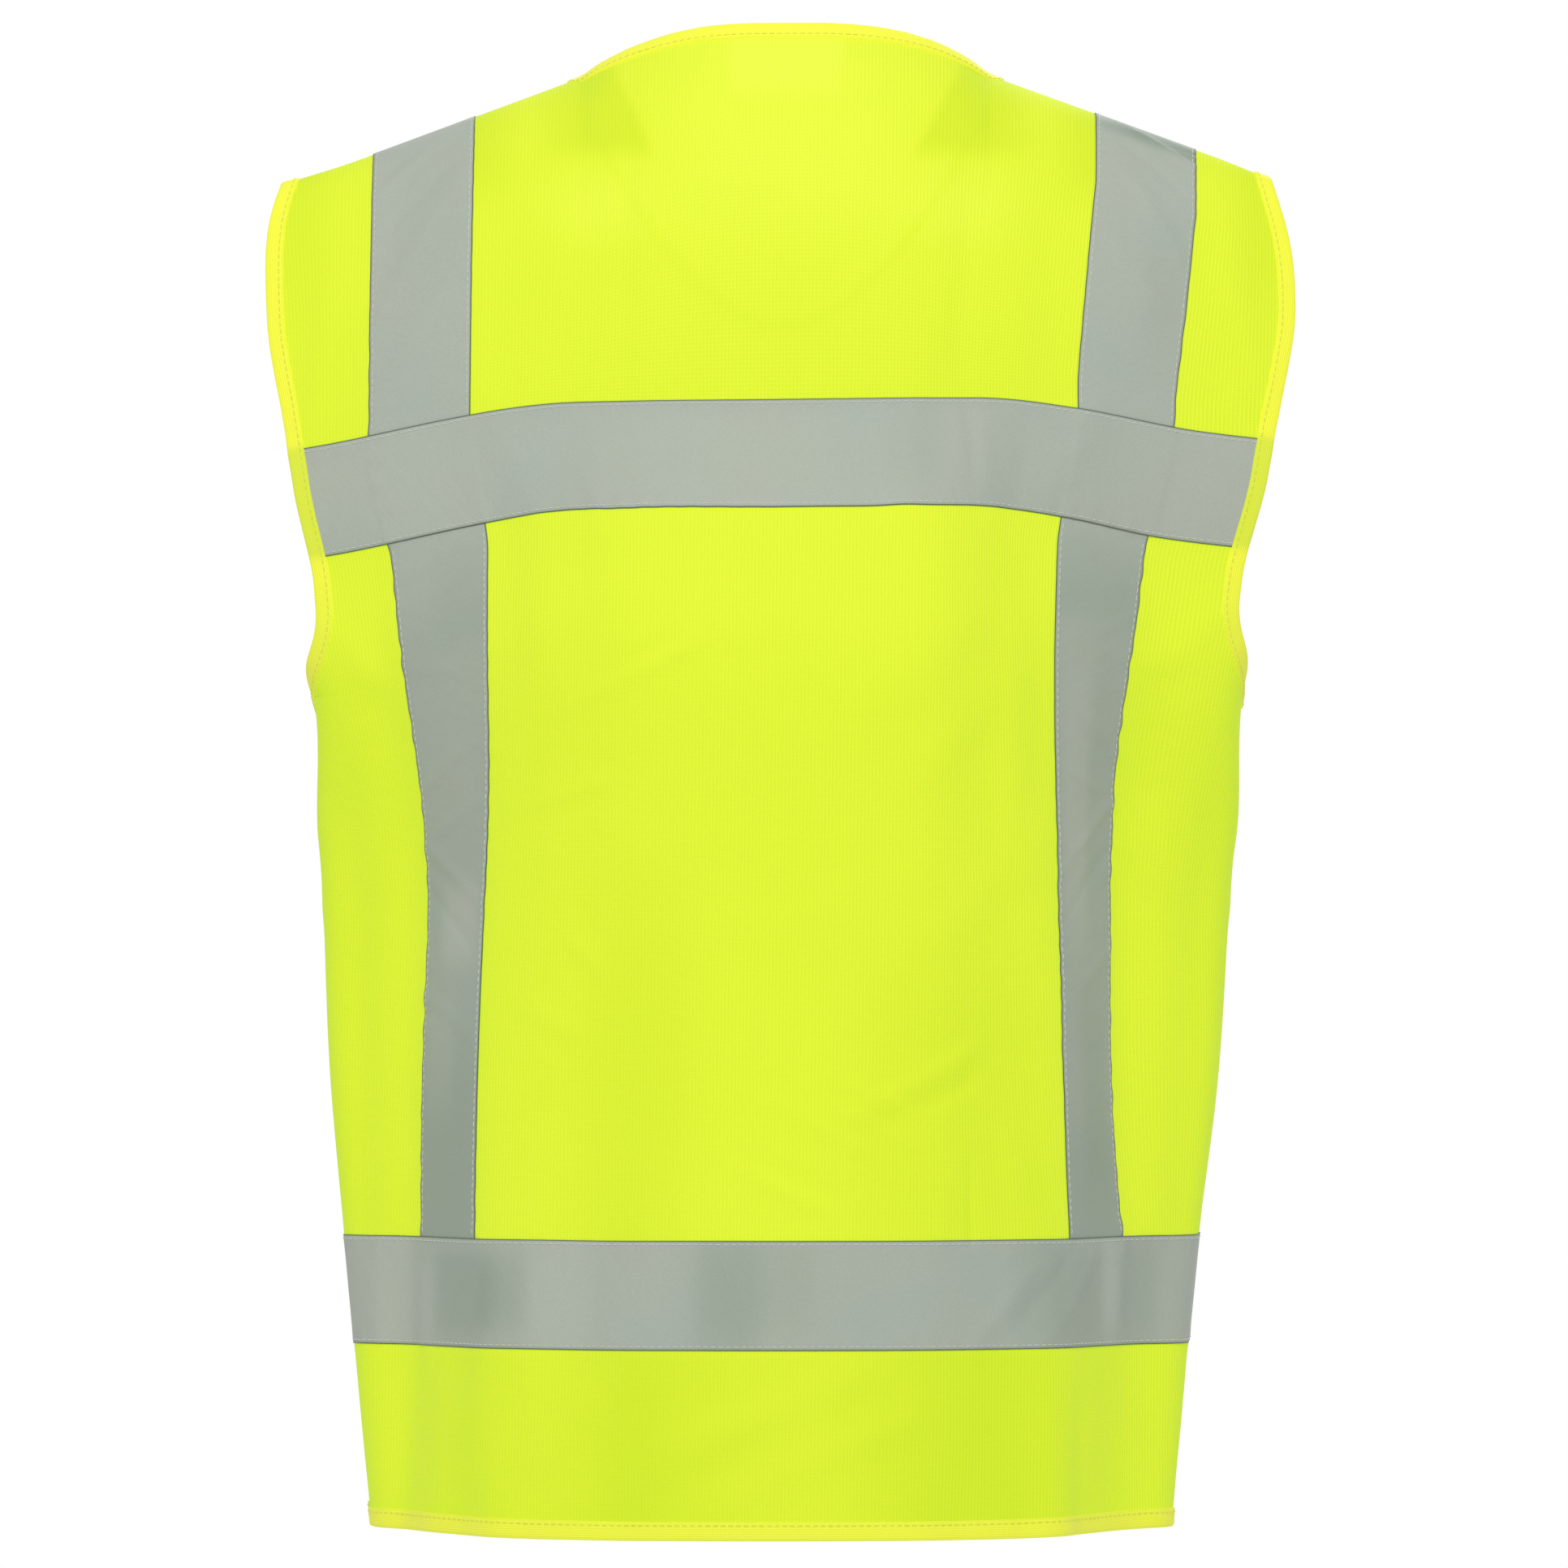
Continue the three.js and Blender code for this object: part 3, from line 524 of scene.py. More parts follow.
def bump(tree, height, shader, strength, distance):
    """Tilts the shader's normal by a height socket."""
    made = node(tree, "ShaderNodeBump", Strength=strength, Distance=distance)
    tree.links.new(height, made.inputs["Height"])
    tree.links.new(made.outputs["Normal"], shader.inputs["Normal"])


def toned(tree, colour, dark, light):
    """colour, drawn towards dark where the piece's tone is under 0, and light where over. The tone holds
    mostly painted shade and painted light, with bead wear and what shows through a cloth.
    """
    tone = tree.nodes.new("ShaderNodeAttribute")
    tone.attribute_name = "tone"
    for way, goal in ((-1.0, dark), (1.0, light)):
        share = node(tree, "ShaderNodeClamp")
        tree.links.new(times(tree, tone.outputs["Fac"], way), share.inputs["Value"])
        colour = mixed(tree, share.outputs[0], colour, goal)
    return colour


def wrinkles(tree, s, v, angle, width, length):
    """Fine soft creases: noise stretched along a slope, width and length in mm, in patches."""
    place = tree.nodes.new("ShaderNodeCombineXYZ")
    cosine, sine = math.cos(math.radians(angle)), math.sin(math.radians(angle))
    for slot, (a, b, size) in enumerate(((cosine, sine, length), (-sine, cosine, width))):
        round_it = times(tree, s, a * 1000 / size)
        run = plus(tree, round_it, times(tree, v, b * 1000 / size))
        tree.links.new(run, place.inputs[slot])
    fine = node(tree, "ShaderNodeTexNoise", Scale=1.0, Detail=2.0, Roughness=0.5)
    tree.links.new(place.outputs[0], fine.inputs["Vector"])
    return times(tree, fine.outputs["Fac"], mottle(tree, 11.0 + width, 1.0))


def knit():
    """Fluorescent knit: bright wales, painted shade between them, a little cloudiness, and an even painted
    glow.
    """
    # Painted glow: the emission lights the knit evenly, so that it stays bright and green in shade.
    paint, tree, shader = new_paint(
        "fluorescent_knit", Roughness=0.82, Specular_IOR_Level=0.2, Sheen_Weight=0.12,
        Sheen_Roughness=0.5, Sheen_Tint=(0.95, 1.0, 0.55, 1),
        Emission_Color=(0.15, 1.0, 0.0, 1), Emission_Strength=0.335)
    s, v = pattern_axes(tree)
    split_wale = plus(tree, 0.62, times(tree, wave(tree, s, WALE / 2), 0.38))
    wales = times(tree, wave(tree, s, WALE), split_wale)
    slant = times(tree, wave(tree, s, WALE), 0.0004)
    loops = times(tree, wave(tree, plus(tree, v, slant), COURSE), 0.25)
    height = plus(tree, times(tree, wales, 0.75), loops)
    # Painted shade: the knit is darker where its wales and loops dip, in the grooves between them.
    ribs = mixed(tree, height, (0.65, 0.58, 0.020, 1), (0.845, 0.645, 0.052, 1))
    clouds = mixed(tree, mottle(tree, 26.0), (0.71, 0.595, 0.030, 1), (0.825, 0.645, 0.048, 1))
    yellow = toned(tree, mixed(tree, 0.35, ribs, clouds), (0.54, 0.46, 0.012, 1), (0.92, 0.74, 0.11, 1))
    tree.links.new(yellow, shader.inputs["Base Color"])
    rising = times(tree, wrinkles(tree, s, v, 24, 5.0, 34.0), 1.4)
    falling = times(tree, wrinkles(tree, s, v, -31, 9.0, 40.0), 1.6)
    creased = plus(tree, rising, falling)
    bump(tree, plus(tree, height, creased), shader, 0.6, 0.0004)
    return paint


KNIT = knit()


def grid_piece(name, points, pattern, paint, thickness=None, flip=False, tone=None):
    """A mesh through points[row, column], its UV map the pattern place in metres."""
    rows, columns = points.shape[:2]
    number = np.arange(rows * columns).reshape(rows, columns)
    corners = [number[:-1, :-1], number[:-1, 1:], number[1:, 1:], number[1:, :-1]]
    faces = np.stack(corners, -1).reshape(-1, 4)
    if flip:
        faces = faces[:, ::-1]
    mesh = bpy.data.meshes.new(name)
    mesh.vertices.add(rows * columns)
    mesh.vertices.foreach_set("co", points.reshape(-1).astype(np.float32))
    mesh.loops.add(faces.size)
    mesh.loops.foreach_set("vertex_index", faces.reshape(-1).astype(np.int32))
    mesh.polygons.add(len(faces))
    mesh.polygons.foreach_set("loop_start", np.arange(0, faces.size, 4, dtype=np.int32))
    mesh.update(calc_edges=True)
    layer = mesh.uv_layers.new(name="pattern")
    places = pattern.reshape(-1, 2)[faces.reshape(-1)] / 1000
    layer.data.foreach_set("uv", places.astype(np.float32).reshape(-1))
    mesh.polygons.foreach_set("use_smooth", np.ones(len(faces), bool))
    mesh.materials.append(paint)
    if tone is not None:
        shade = mesh.attributes.new("tone", "FLOAT", "POINT")
        tones = np.broadcast_to(tone, points.shape[:2]).reshape(-1)
        shade.data.foreach_set("value", tones.astype(np.float32))
    piece = placed(name, mesh)
    if thickness:
        wall = piece.modifiers.new("thickness", "SOLIDIFY")
        wall.thickness = thickness / 1000
        wall.offset = 0
    return piece


def rows_up(top, step=3.0):
    """Pattern heights of the rows: even, but close together round the armhole's curve."""
    curve = ARM_BOTTOM + ARM_CURVE * (1 - np.cos(np.radians(np.linspace(0, 90, 17))))
    below = np.linspace(HEM, ARM_BOTTOM, int((ARM_BOTTOM - HEM) / step) + 1)[:-1]
    start = ARM_BOTTOM + ARM_CURVE
    above = np.linspace(start, top, int((top - ARM_BOTTOM - ARM_CURVE) / step) + 1)[1:]
    return np.concatenate([below, curve, above])


def columns_out(first, step=3.0):
    """Shares of the columns from brace tape to side edge, and the fixed ones before them."""
    even = np.linspace(NECK, BRACE_OUT, int((BRACE_OUT - NECK) / step) + 1)[1:]
    return np.concatenate([first, even]), np.linspace(0, 1, 33)[1:]


heights = rows_up(RIDGE)
inner, outer = columns_out(np.concatenate([np.linspace(0, 84, 28)[:-1], np.linspace(84, NECK, 9)]))
climb = np.clip((heights - CHEST) / UPPER_RUN, 0, 1)[:, None]
half_s = np.hstack([np.broadcast_to(inner, (len(heights), len(inner))),
                    BRACE_OUT + outer * (arm_edge(heights, False)[:, None] - BRACE_OUT)])
half_v = np.where(heights[:, None] <= CHEST, heights[:, None], CHEST + climb * (neck_top(half_s) - CHEST))
back_s = np.hstack([-half_s[:, :0:-1], half_s])
back_v = np.hstack([half_v[:, :0:-1], half_v])
back_points, _ = garment(1, False, back_s, back_v)


def soft_box(a, b, a_low, a_high, b_low, b_high, blur):
    """1 inside a rectangle of (a, b), 0 outside, with a blurred edge."""
    inside = rise(a, a_low - blur, a_low + blur) * rise(a, a_high + blur, a_high - blur)
    return inside * rise(b, b_low - blur, b_low + blur) * rise(b, b_high + blur, b_high - blur)


def back_painted_shading(s, v, z):
    """Painted light and shade on the back, with what shows through it: the label and the front neckline
    behind the cloth, painted light through the open neck and in a halo under the neck, the front cloth's
    painted shadow beside the neck, and painted shade on the shoulders, flares, a hollow, a low patch and the
    hem.
    """
    size = np.abs(s)
    # The label and the front neckline show through the thin cloth; the broad soft box round the label is
    # painted light through the open neck.
    label = 0.20 * soft_box(s, z, -26, 26, -12, 30, 3) * rise(z, -26, 6)
    label = label + 0.16 * soft_box(s, z, -50, 48, -70, 20, 26)
    neckline = -118 + 79 * (size / 82) ** 1.82
    reach = 2.4 * np.sqrt(1 + (79 * 1.82 / 82 * (size / 82) ** 0.82) ** 2)
    line = -0.12 * np.exp(-(((z - neckline) / reach) ** 2)) * rise(size, 92, 80)
    line = line + 0.04 * rise((z - neckline) / reach, -2, 2) * rise(size, 96, 80)
    # Painted shadow: the front cloth lying in shade behind the back darkens it beside the neck; a painted
    # halo of light lies under each patch.
    slant = 0.5 * (z + 40)
    collar_shadow = -0.42 * rise(size, 56 + slant, 62 + slant) * rise(size, 124, 92) * rise(z, -44, -30)
    halo = 0.22 * np.exp(-(((size - 84) / 26) ** 2) - ((z + 62) / 18) ** 2)
    # Painted shade on the shoulder tips and beside the braces, on the side flares, in a hollow and a low
    # patch on the lower back, and towards the hem.
    tip = -0.30 * rise(size, 205, 232) * rise(z, -130, -60)
    shoulder = tip - 0.35 * rise(size, 118, 146) * rise(z, -70, -40) * rise(size, 150, 146)
    flare = -0.10 * rise(size, 200, 240) * rise(z, -190, -330)
    hollow = -0.24 * np.exp(-(((s - 66) / 28) ** 2)) * rise(z, -330, -450)
    low = -0.22 * rise(s, -10, -70) * rise(size, 150, 120) * rise(z, -380, -440)
    hem = -0.26 * rise(z, -582, -590) * (0.8 + 0.2 * np.sin(s / 21.0)) * rise(size, 240, 120)
    whole = label + line + collar_shadow + halo + shoulder + flare + hollow + low + hem
    return whole * np.ones(s.shape)


back_cloth = grid_piece("back_cloth", back_points, np.stack([back_s, back_v], -1), KNIT, CLOTH, True,
                        back_painted_shading(back_s, back_v, back_points[..., 2] * 1000))
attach(back_cloth, "garment")
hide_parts("back_panel")

LAP_LIFT = {1: 4.2, -1: 0.0}  # the left front laps over the right
for side, name in ((1, "left"), (-1, "right")):
    heights = rows_up(0.0)
    edge = front_edge(heights)[:, None]
    inboard = edge + np.linspace(0, 1, 56)[:-1] * (BRACE_IN - edge)
    fixed = np.broadcast_to(np.linspace(BRACE_IN, BRACE_OUT, 18), (len(heights), 18))
    outboard = BRACE_OUT + outer * (arm_edge(heights, True)[:, None] - BRACE_OUT)
    cut_s = np.hstack([inboard, fixed, outboard])
    cut_v = np.broadcast_to(heights[:, None], cut_s.shape)
    points, _ = garment(side, True, cut_s, cut_v, lap=LAP_LIFT[side])
    places = np.stack([cut_s, cut_v], -1)
    cloth = grid_piece(f"{name}_front_cloth", points, places, KNIT, CLOTH, flip=side < 0)
    swing(cloth, side)
    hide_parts(f"{name}_side_front_panel", f"{name}_front_panel")

# ----------
# The tapes: 50 mm glass-bead reflective tape, laid on the cloth and sewn down both edges.
# A brace runs up the back, over the shoulder and down the front on each side; the chest
# tape crosses over the braces, and the waist tape covers their lower ends.
# ----------
TAPE_THICK, TAPE_LEVEL, OVER_BRACE = 0.28, 0.55, 0.42
THREAD_LEVEL = TAPE_LEVEL + 0.16


def bead_tape():
    """Grey bead coating: fine painted sparkle, cool and warm clouds, a faint woven ground and a painted
    shade line at each edge.
    """
    paint, tree, shader = new_paint(
        "reflective_tape", Roughness=0.62, Specular_IOR_Level=0.3, Sheen_Weight=0.15)
    where = tree.nodes.new("ShaderNodeTexCoord")
    beads = node(tree, "ShaderNodeTexNoise", Scale=2600.0, Detail=2.0, Roughness=0.7)
    tree.links.new(where.outputs["Object"], beads.inputs["Vector"])
    # Painted glints: the pale specks in the bead grey stand in for light caught by the glass beads.
    ramp = tree.nodes.new("ShaderNodeValToRGB")
    ramp.color_ramp.elements[0].position = 0.34
    ramp.color_ramp.elements[0].color = (0.335, 0.372, 0.325, 1)
    ramp.color_ramp.elements[1].position = 0.72
    ramp.color_ramp.elements[1].color = (0.53, 0.557, 0.49, 1)
    tree.links.new(beads.outputs["Fac"], ramp.inputs[0])
    cool = mixed(tree, mottle(tree, 17.0, 2.0), (0.385, 0.458, 0.405, 1), (0.455, 0.478, 0.38, 1))
    grey = mixed(tree, 0.6, ramp.outputs["Color"], cool)
    grey = toned(tree, grey, (0.20, 0.275, 0.20, 1), (0.52, 0.59, 0.47, 1))
    s, v = pattern_axes(tree)
    # Painted shade: a thin dark line along both edges of the tape, where its edge steps down to the cloth.
    cut = node(tree, "ShaderNodeMapRange", From_Min=0.0243, From_Max=0.0248)
    off_centre = math_node(tree, "ABSOLUTE", math_node(tree, "SUBTRACT", v, 0.025))
    tree.links.new(off_centre, cut.inputs["Value"])
    grey = mixed(tree, cut.outputs["Result"], grey, (0.10, 0.13, 0.09, 1))
    tree.links.new(grey, shader.inputs["Base Color"])
    ground = times(tree, wave(tree, s, 0.0005), wave(tree, v, 0.0005))
    grain = times(tree, beads.outputs["Fac"], 0.8)
    height = plus(tree, grain, times(tree, ground, 0.2))
    creased = times(tree, wrinkles(tree, s, v, 62, 6.0, 30.0), 4.2)
    bump(tree, plus(tree, height, creased), shader, 0.5, 0.0003)
    return paint


BEADS = bead_tape()


def brace_level(s, v, top):
    """Extra height where a tape crosses over a brace, eased over the brace's edges and end."""
    size = np.abs(s)
    over = 1 if top == CHEST else rise(v, WAIST - 13, WAIST - 9)
    edges = rise(size, BRACE_IN - 3, BRACE_IN + 0.5) - rise(size, BRACE_OUT - 0.5, BRACE_OUT + 3)
    return OVER_BRACE * edges * over


def tape_piece(name, along, width, points, flip=False, tone=0.0):
    """A tape from points; along runs down it and width, 0 to 50, across it."""
    piece = grid_piece(name, points, np.stack([along, width], -1), BEADS, TAPE_THICK, flip, tone)
    return piece


def patches(places, a, b):
    """The sum of blurred spots (a, b, half size along a, half size along b, depth)."""
    return sum(depth * np.exp(-(((a - p) / w) ** 4) - ((b - q) / h) ** 4)
               for p, q, w, h, depth in places)


stitch_paths = {"garment": [], 1: [], -1: []}  # lines of stitching: (points, normals)


def sew(key, side, front, s, v, level, lap=0.0):
    """Keeps a line of stitching that runs along pattern places s, v at a level."""
    stitch_paths[key].append(garment(side, front, s, v, level, lap))


STITCH_INSET = 1.8
# Where the bead coating looks darker or paler, partly from uneven wear of the beads and partly as painted
# shade and reflection where the tape turns: (along, across, two half sizes, how much).
BRACE_PATCHES = {
    1: [(-500, 25, 60, 40, -0.22), (-390, 20, 20, 16, 0.30), (-300, 30, 40, 30, 0.10),
        (-60, 20, 40, 18, -0.08), (-455, 34, 26, 14, 0.14), (-230, 10, 24, 20, -0.12)],
    -1: [(-520, 25, 40, 40, -0.15), (-330, 16, 70, 12, 0.24), (-470, 30, 50, 14, -0.14),
         (-225, 25, 22, 40, -0.18), (-6, 30, 14, 30, -0.65), (-100, 40, 30, 12, -0.10)]}
CHEST_PATCHES = [
    (180, 25, 24, 30, 0.10), (-110, 20, 12, 26, -0.10), (-60, 30, 14, 20, -0.08),
    (226, 26, 20, 16, 0.10), (-150, 20, 20, 30, -0.06), (30, 30, 60, 30, 0.04)]
WAIST_PATCHES = [
    (158, 24, 24, 22, -0.34), (130, 26, 14, 18, -0.22), (214, 26, 10, 34, 0.20),
    (188, 20, 8, 20, 0.12), (100, 25, 16, 40, 0.16), (20, 26, 16, 30, -0.26),
    (-6, 30, 14, 22, -0.12), (-128, 26, 14, 30, -0.20), (-158, 20, 22, 26, -0.26),
    (-186, 30, 10, 24, 0.14), (-205, 26, 16, 30, -0.22), (62, 30, 20, 30, 0.06)]
tapes = {"garment": [], 1: [], -1: []}
for side, name in ((1, "left"), (-1, "right")):
    width = np.linspace(BRACE_IN, BRACE_OUT, 26)
    up = np.linspace(WAIST - 9, RIDGE, 330)[:, None]
    down = np.linspace(0.0, WAIST - 9, 300)[1:, None]
    s_up, v_up = np.broadcast_arrays(width, up)
    s_down, v_down = np.broadcast_arrays(width, down)
    wavy = 0.45 * np.sin(v_up / 2.3 + side) * np.sin(v_up / 11.0) * rise(v_up, -60, -200)
    s_up = s_up + wavy * ((s_up - BRACE_IN) / TAPE) ** 2
    run = np.vstack([garment(side, False, s_up, v_up, TAPE_LEVEL)[0],
                     garment(side, True, s_down, v_down, TAPE_LEVEL)[0]])
    along = np.vstack([v_up, 2 * RIDGE - v_down])
    brace_wear_and_shade = patches(BRACE_PATCHES[side], along, np.vstack([s_up, s_down]) - BRACE_IN)
    over = np.broadcast_to(width - BRACE_IN, along.shape)
    # Painted shade: the back brace is darker from below the chest down, where it turns away from the light.
    brace = tape_piece(f"{name}_brace", along, over, run, side > 0,
                       brace_wear_and_shade - 0.28 * rise(along, -180, -260))
    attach(brace, "garment")
    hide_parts(f"{name}_brace_tape")
    tapes["garment"].append(brace)
    for s in (BRACE_IN + STITCH_INSET, BRACE_OUT - STITCH_INSET):
        for top, bottom in ((RIDGE, CHEST + 1), (CHEST - TAPE - 1, WAIST + 1)):
            sew("garment", side, False, s, np.linspace(bottom, top, 600), THREAD_LEVEL)
        for top, bottom in ((0.0, CHEST + 1), (CHEST - TAPE - 1, WAIST + 1)):
            sew("garment", side, True, s, np.linspace(bottom, top, 600), THREAD_LEVEL)

for name, top in (("chest", CHEST), ("waist", WAIST)):
    rows = np.linspace(top - TAPE, top, 26)[:, None]
    edge = arm_edge(rows, False) if top == CHEST else np.full(rows.shape, GIRTH)
    cut_s = np.linspace(-1, 1, 361) * (edge - (2.0 if top == CHEST else 0.0))
    cut_v = np.broadcast_to(rows, cut_s.shape)
    points, _ = garment(1, False, cut_s, cut_v, TAPE_LEVEL + brace_level(cut_s, cut_v, top))
    width = cut_v - top + TAPE
    tone = patches(CHEST_PATCHES if top == CHEST else WAIST_PATCHES, cut_s, width)
    # Painted shade: the waist tape is a little darker all over than the chest tape.
    band = tape_piece(f"{name}_tape_back_cloth", cut_s, width, points, True,
                      tone - (0.10 if top == WAIST else 0.0))
    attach(band, "garment")
    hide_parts(f"{name}_tape_back")
    tapes["garment"].append(band)
    for v in (top - STITCH_INSET, top - TAPE + STITCH_INSET):
        reach = (arm_edge(np.array(v), False) if top == CHEST else GIRTH) - 3
        s = np.linspace(-reach, reach, 1600)
        sew("garment", 1, False, s, v, THREAD_LEVEL + brace_level(s, v, top))
    for side, hand in ((1, "left"), (-1, "right")):
        reach = arm_edge(rows, True) - 2.0 if top == CHEST else np.full(rows.shape, GIRTH)
        start = front_edge(rows) + 1.0
        cut_s = start + np.linspace(0, 1, 181) * (reach - start)
        cut_v = np.broadcast_to(rows, cut_s.shape)
        level = TAPE_LEVEL + brace_level(cut_s, cut_v, top)
        points, _ = garment(side, True, cut_s, cut_v, level, LAP_LIFT[side])
        band = tape_piece(f"{name}_tape_{hand}_cloth", cut_s, cut_v - top + TAPE, points, side < 0)
        swing(band, side)
        if top == CHEST:
            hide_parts(f"chest_tape_{hand}_side", f"chest_tape_{hand}_front")
        else:
            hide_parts(f"waist_tape_{hand}_front")
        tapes[side].append(band)
        for v in (top - STITCH_INSET, top - TAPE + STITCH_INSET):
            far = float(np.min(reach)) - 2
            s = np.linspace(float(front_edge(np.array(v))) + 8, far, 900)
            sew(side, side, True, s, v, THREAD_LEVEL + brace_level(s, v, top), LAP_LIFT[side])

# ----------
# The bindings: ribbed polyester tape in a clearer yellow, folded in half over every raw edge
# and sewn through near its inner edge. It shows about 8 mm on each face.
# ----------
BIND = 8.0
SEAM_IN, SEAM_UP = 0.0062, 0.00118  # the stitching's place on the binding, in metres
INNER = 4.0  # how far in an edge looks for its direction
u_profile = np.array([  # out from the edge, and up off the middle of the cloth
    (-BIND, 0.50), (-BIND + 0.3, 1.02), (-BIND * 0.72, 1.10), (-BIND * 0.45, 1.12), (-2.0, 1.22),
    (-0.4, 1.15), (0.5, 0.80), (0.85, 0.0), (0.5, -0.80), (-0.4, -1.15), (-2.0, -1.22),
    (-BIND * 0.45, -1.12), (-BIND * 0.72, -1.10), (-BIND + 0.3, -1.02), (-BIND, -0.50)])


def ribbed():
    """Binding tape: cross ribs with a lengthwise thread, painted shade between the ribs, a clearer yellow
    than the cloth and an even painted glow.
    """
    # Painted glow: the emission lights the binding evenly, whatever light falls on it.
    paint, tree, shader = new_paint(
        "ribbed_binding", Roughness=0.7, Specular_IOR_Level=0.3, Sheen_Weight=0.15,
        Emission_Color=(0.9, 0.95, 0.02, 1), Emission_Strength=0.15)
    over, along = pattern_axes(tree)
    cords = times(tree, wave(tree, over, 0.00105), 0.6)
    height = plus(tree, cords, times(tree, wave(tree, along, 0.0009), 0.4))
    # Painted shade: the binding is darker where its ribs dip.
    colour = mixed(tree, height, (0.76, 0.80, 0.03, 1), (0.93, 0.93, 0.065, 1))
    colour = toned(tree, colour, (0.44, 0.62, 0.05, 1), (1.0, 1.0, 0.15, 1))
    tree.links.new(colour, shader.inputs["Base Color"])
    bump(tree, height, shader, 0.5, 0.0004)
    return paint


RIBBED = ribbed()


def run_along(path):
    """Running length along a path of points, 0 at its start."""
    return np.concatenate([[0], np.cumsum(np.linalg.norm(np.diff(path, axis=0), axis=1))])


def binding(name, edge, inwards, normal, closed=False, key=None, tone=0.0):
    """u_profile carried along an edge; inwards and normal are unit directions at each point."""
    tone = np.broadcast_to(tone, len(edge))
    arc = run_along(edge) * 1000
    flutter = 1 + 0.05 * np.sin(arc / 7.3)[:, None] + 0.04 * np.sin(arc / 2.9 + 1)[:, None]
    out = u_profile[:, 0][None, :, None] / 1000
    up = (u_profile[:, 1][None, :] * flutter)[..., None] / 1000
    ring = edge[:, None, :] - inwards[:, None, :] * out + normal[:, None, :] * up
    ring = np.concatenate([ring, ring[:, :1]], axis=1)
    round_it = run_along(np.vstack([u_profile, u_profile[:1]]))
    pattern = np.stack(np.broadcast_arrays(round_it[None, :], arc[:, None]), -1)
    if not closed:
        middle = ring[:, :-1].mean(axis=1, keepdims=True)
        first, last = (np.repeat(end, ring.shape[1], axis=1) for end in (middle[:1], middle[-1:]))
        ring = np.concatenate([first, ring, last])
        pattern = np.concatenate([pattern[:1], pattern, pattern[-1:]])
        tone = np.concatenate([tone[:1], tone, tone[-1:]])
    piece = grid_piece(name, ring, pattern, RIBBED, tone=tone[:, None])
    work = bmesh.new()
    work.from_mesh(piece.data)
    bmesh.ops.remove_doubles(work, verts=work.verts, dist=1e-6)
    bmesh.ops.recalc_face_normals(work, faces=work.faces)
    work.to_mesh(piece.data)
    work.free()
    for face in (1, -1):
        stitch_paths[key].append((edge + inwards * SEAM_IN + normal * face * SEAM_UP, normal * face))
    return piece


def edge_frame(side, front, s, v, inner_s, inner_v, lap=0.0):
    """An edge's points, the unit direction into the cloth, and the normal, as rows."""
    edge, normal = garment(side, front, s, v, 0, lap)
    inner, _ = garment(side, front, inner_s, inner_v, 0, lap)
    inwards = inner - edge
    inwards = inwards / np.linalg.norm(inwards, axis=1, keepdims=True)
    return edge, inwards, normal


def square_in(s, v, distance, turn):
    """Places a distance square to the path s, v on the pattern; turn is +1 or -1."""
    ds, dv = np.gradient(s), np.gradient(v)
    length = np.hypot(ds, dv)
    return s - turn * dv / length * distance, v + turn * ds / length * distance


edge_pieces = {"garment": [], 1: [], -1: []}
HEM_PAINTED_SHADE = -0.2  # painted shade: the hem bindings are darker, as the cloth is towards the hem
for side, name in ((1, "left"), (-1, "right")):
    parts = []
    for front, inset, top in ((False, ARM_BACK, RIDGE), (True, ARM_FRONT, 0.0)):
        curve = np.radians(np.linspace(0, 90, 30))
        s = GIRTH - (GIRTH - inset + ARM_IN) * np.sin(curve)
        v = ARM_BOTTOM + ARM_CURVE * (1 - np.cos(curve))
        rest = np.linspace(ARM_BOTTOM + ARM_CURVE + 2, top, 92)
        s = np.concatenate([s, arm_edge(rest, front)])
        v = np.concatenate([v, rest])
        inner_s, inner_v = square_in(s, v, INNER, 1)
        inner_s[-1], inner_v[-1] = s[-1] - INNER, v[-1]
        inner_s[0], inner_v[0] = s[0], v[0] - INNER
        # The binding is greyer where the chest tape shows through under it, and painted darker below the
        # tape, as shade.
        over_tape = -0.5 * rise(v, CHEST - TAPE - 2, CHEST - TAPE + 2) * rise(v, CHEST + 2, CHEST - 2)
        shade = over_tape - 0.28 * rise(v, CHEST - TAPE + 2, CHEST - TAPE - 40)
        frame_rows = [*edge_frame(side, front, s, v, inner_s, inner_v), shade[:, None]]
        parts.append([rows[:-1] if front else rows for rows in frame_rows])
    loop = [np.vstack([back_rows, front_rows[::-1], back_rows[:1]]) for back_rows, front_rows in zip(*parts)]
    piece = binding(f"{name}_armhole_edge", *loop[:3], True, "garment", loop[3][:, 0])
    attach(piece, "garment")
    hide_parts(f"{name}_armhole_binding")
    edge_pieces["garment"].append(piece)

    neckline = NECK_POINT * (1 - np.linspace(0, 1, 90) ** 1.6)
    v = np.concatenate([np.linspace(HEM - 0.5, NECK_POINT - 1, 200), neckline])
    s = front_edge(v)
    inner_s, inner_v = square_in(s, v, INNER, -1)
    corner = slice(198, 203)
    inner_s[corner] = np.maximum(inner_s[corner], s[corner] + 2.5)
    edge, inwards, normal = edge_frame(side, True, s, v, inner_s, inner_v, LAP_LIFT[side])
    piece = binding(f"{name}_front_edge", edge, inwards, normal, False, side)
    swing(piece, side)
    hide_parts(f"{name}_front_edge_binding")
    edge_pieces[side].append(piece)

    s = np.linspace(-LAP + BIND * 0.9, GIRTH, 240)
    v = np.full(s.shape, HEM)
    edge, inwards, normal = edge_frame(side, True, s, v, s, v + INNER, LAP_LIFT[side])
    piece = binding(f"{name}_front_hem_edge", edge, inwards, normal, False, side, HEM_PAINTED_SHADE)
    swing(piece, side)
    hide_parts(f"{name}_front_hem_binding")
    edge_pieces[side].append(piece)

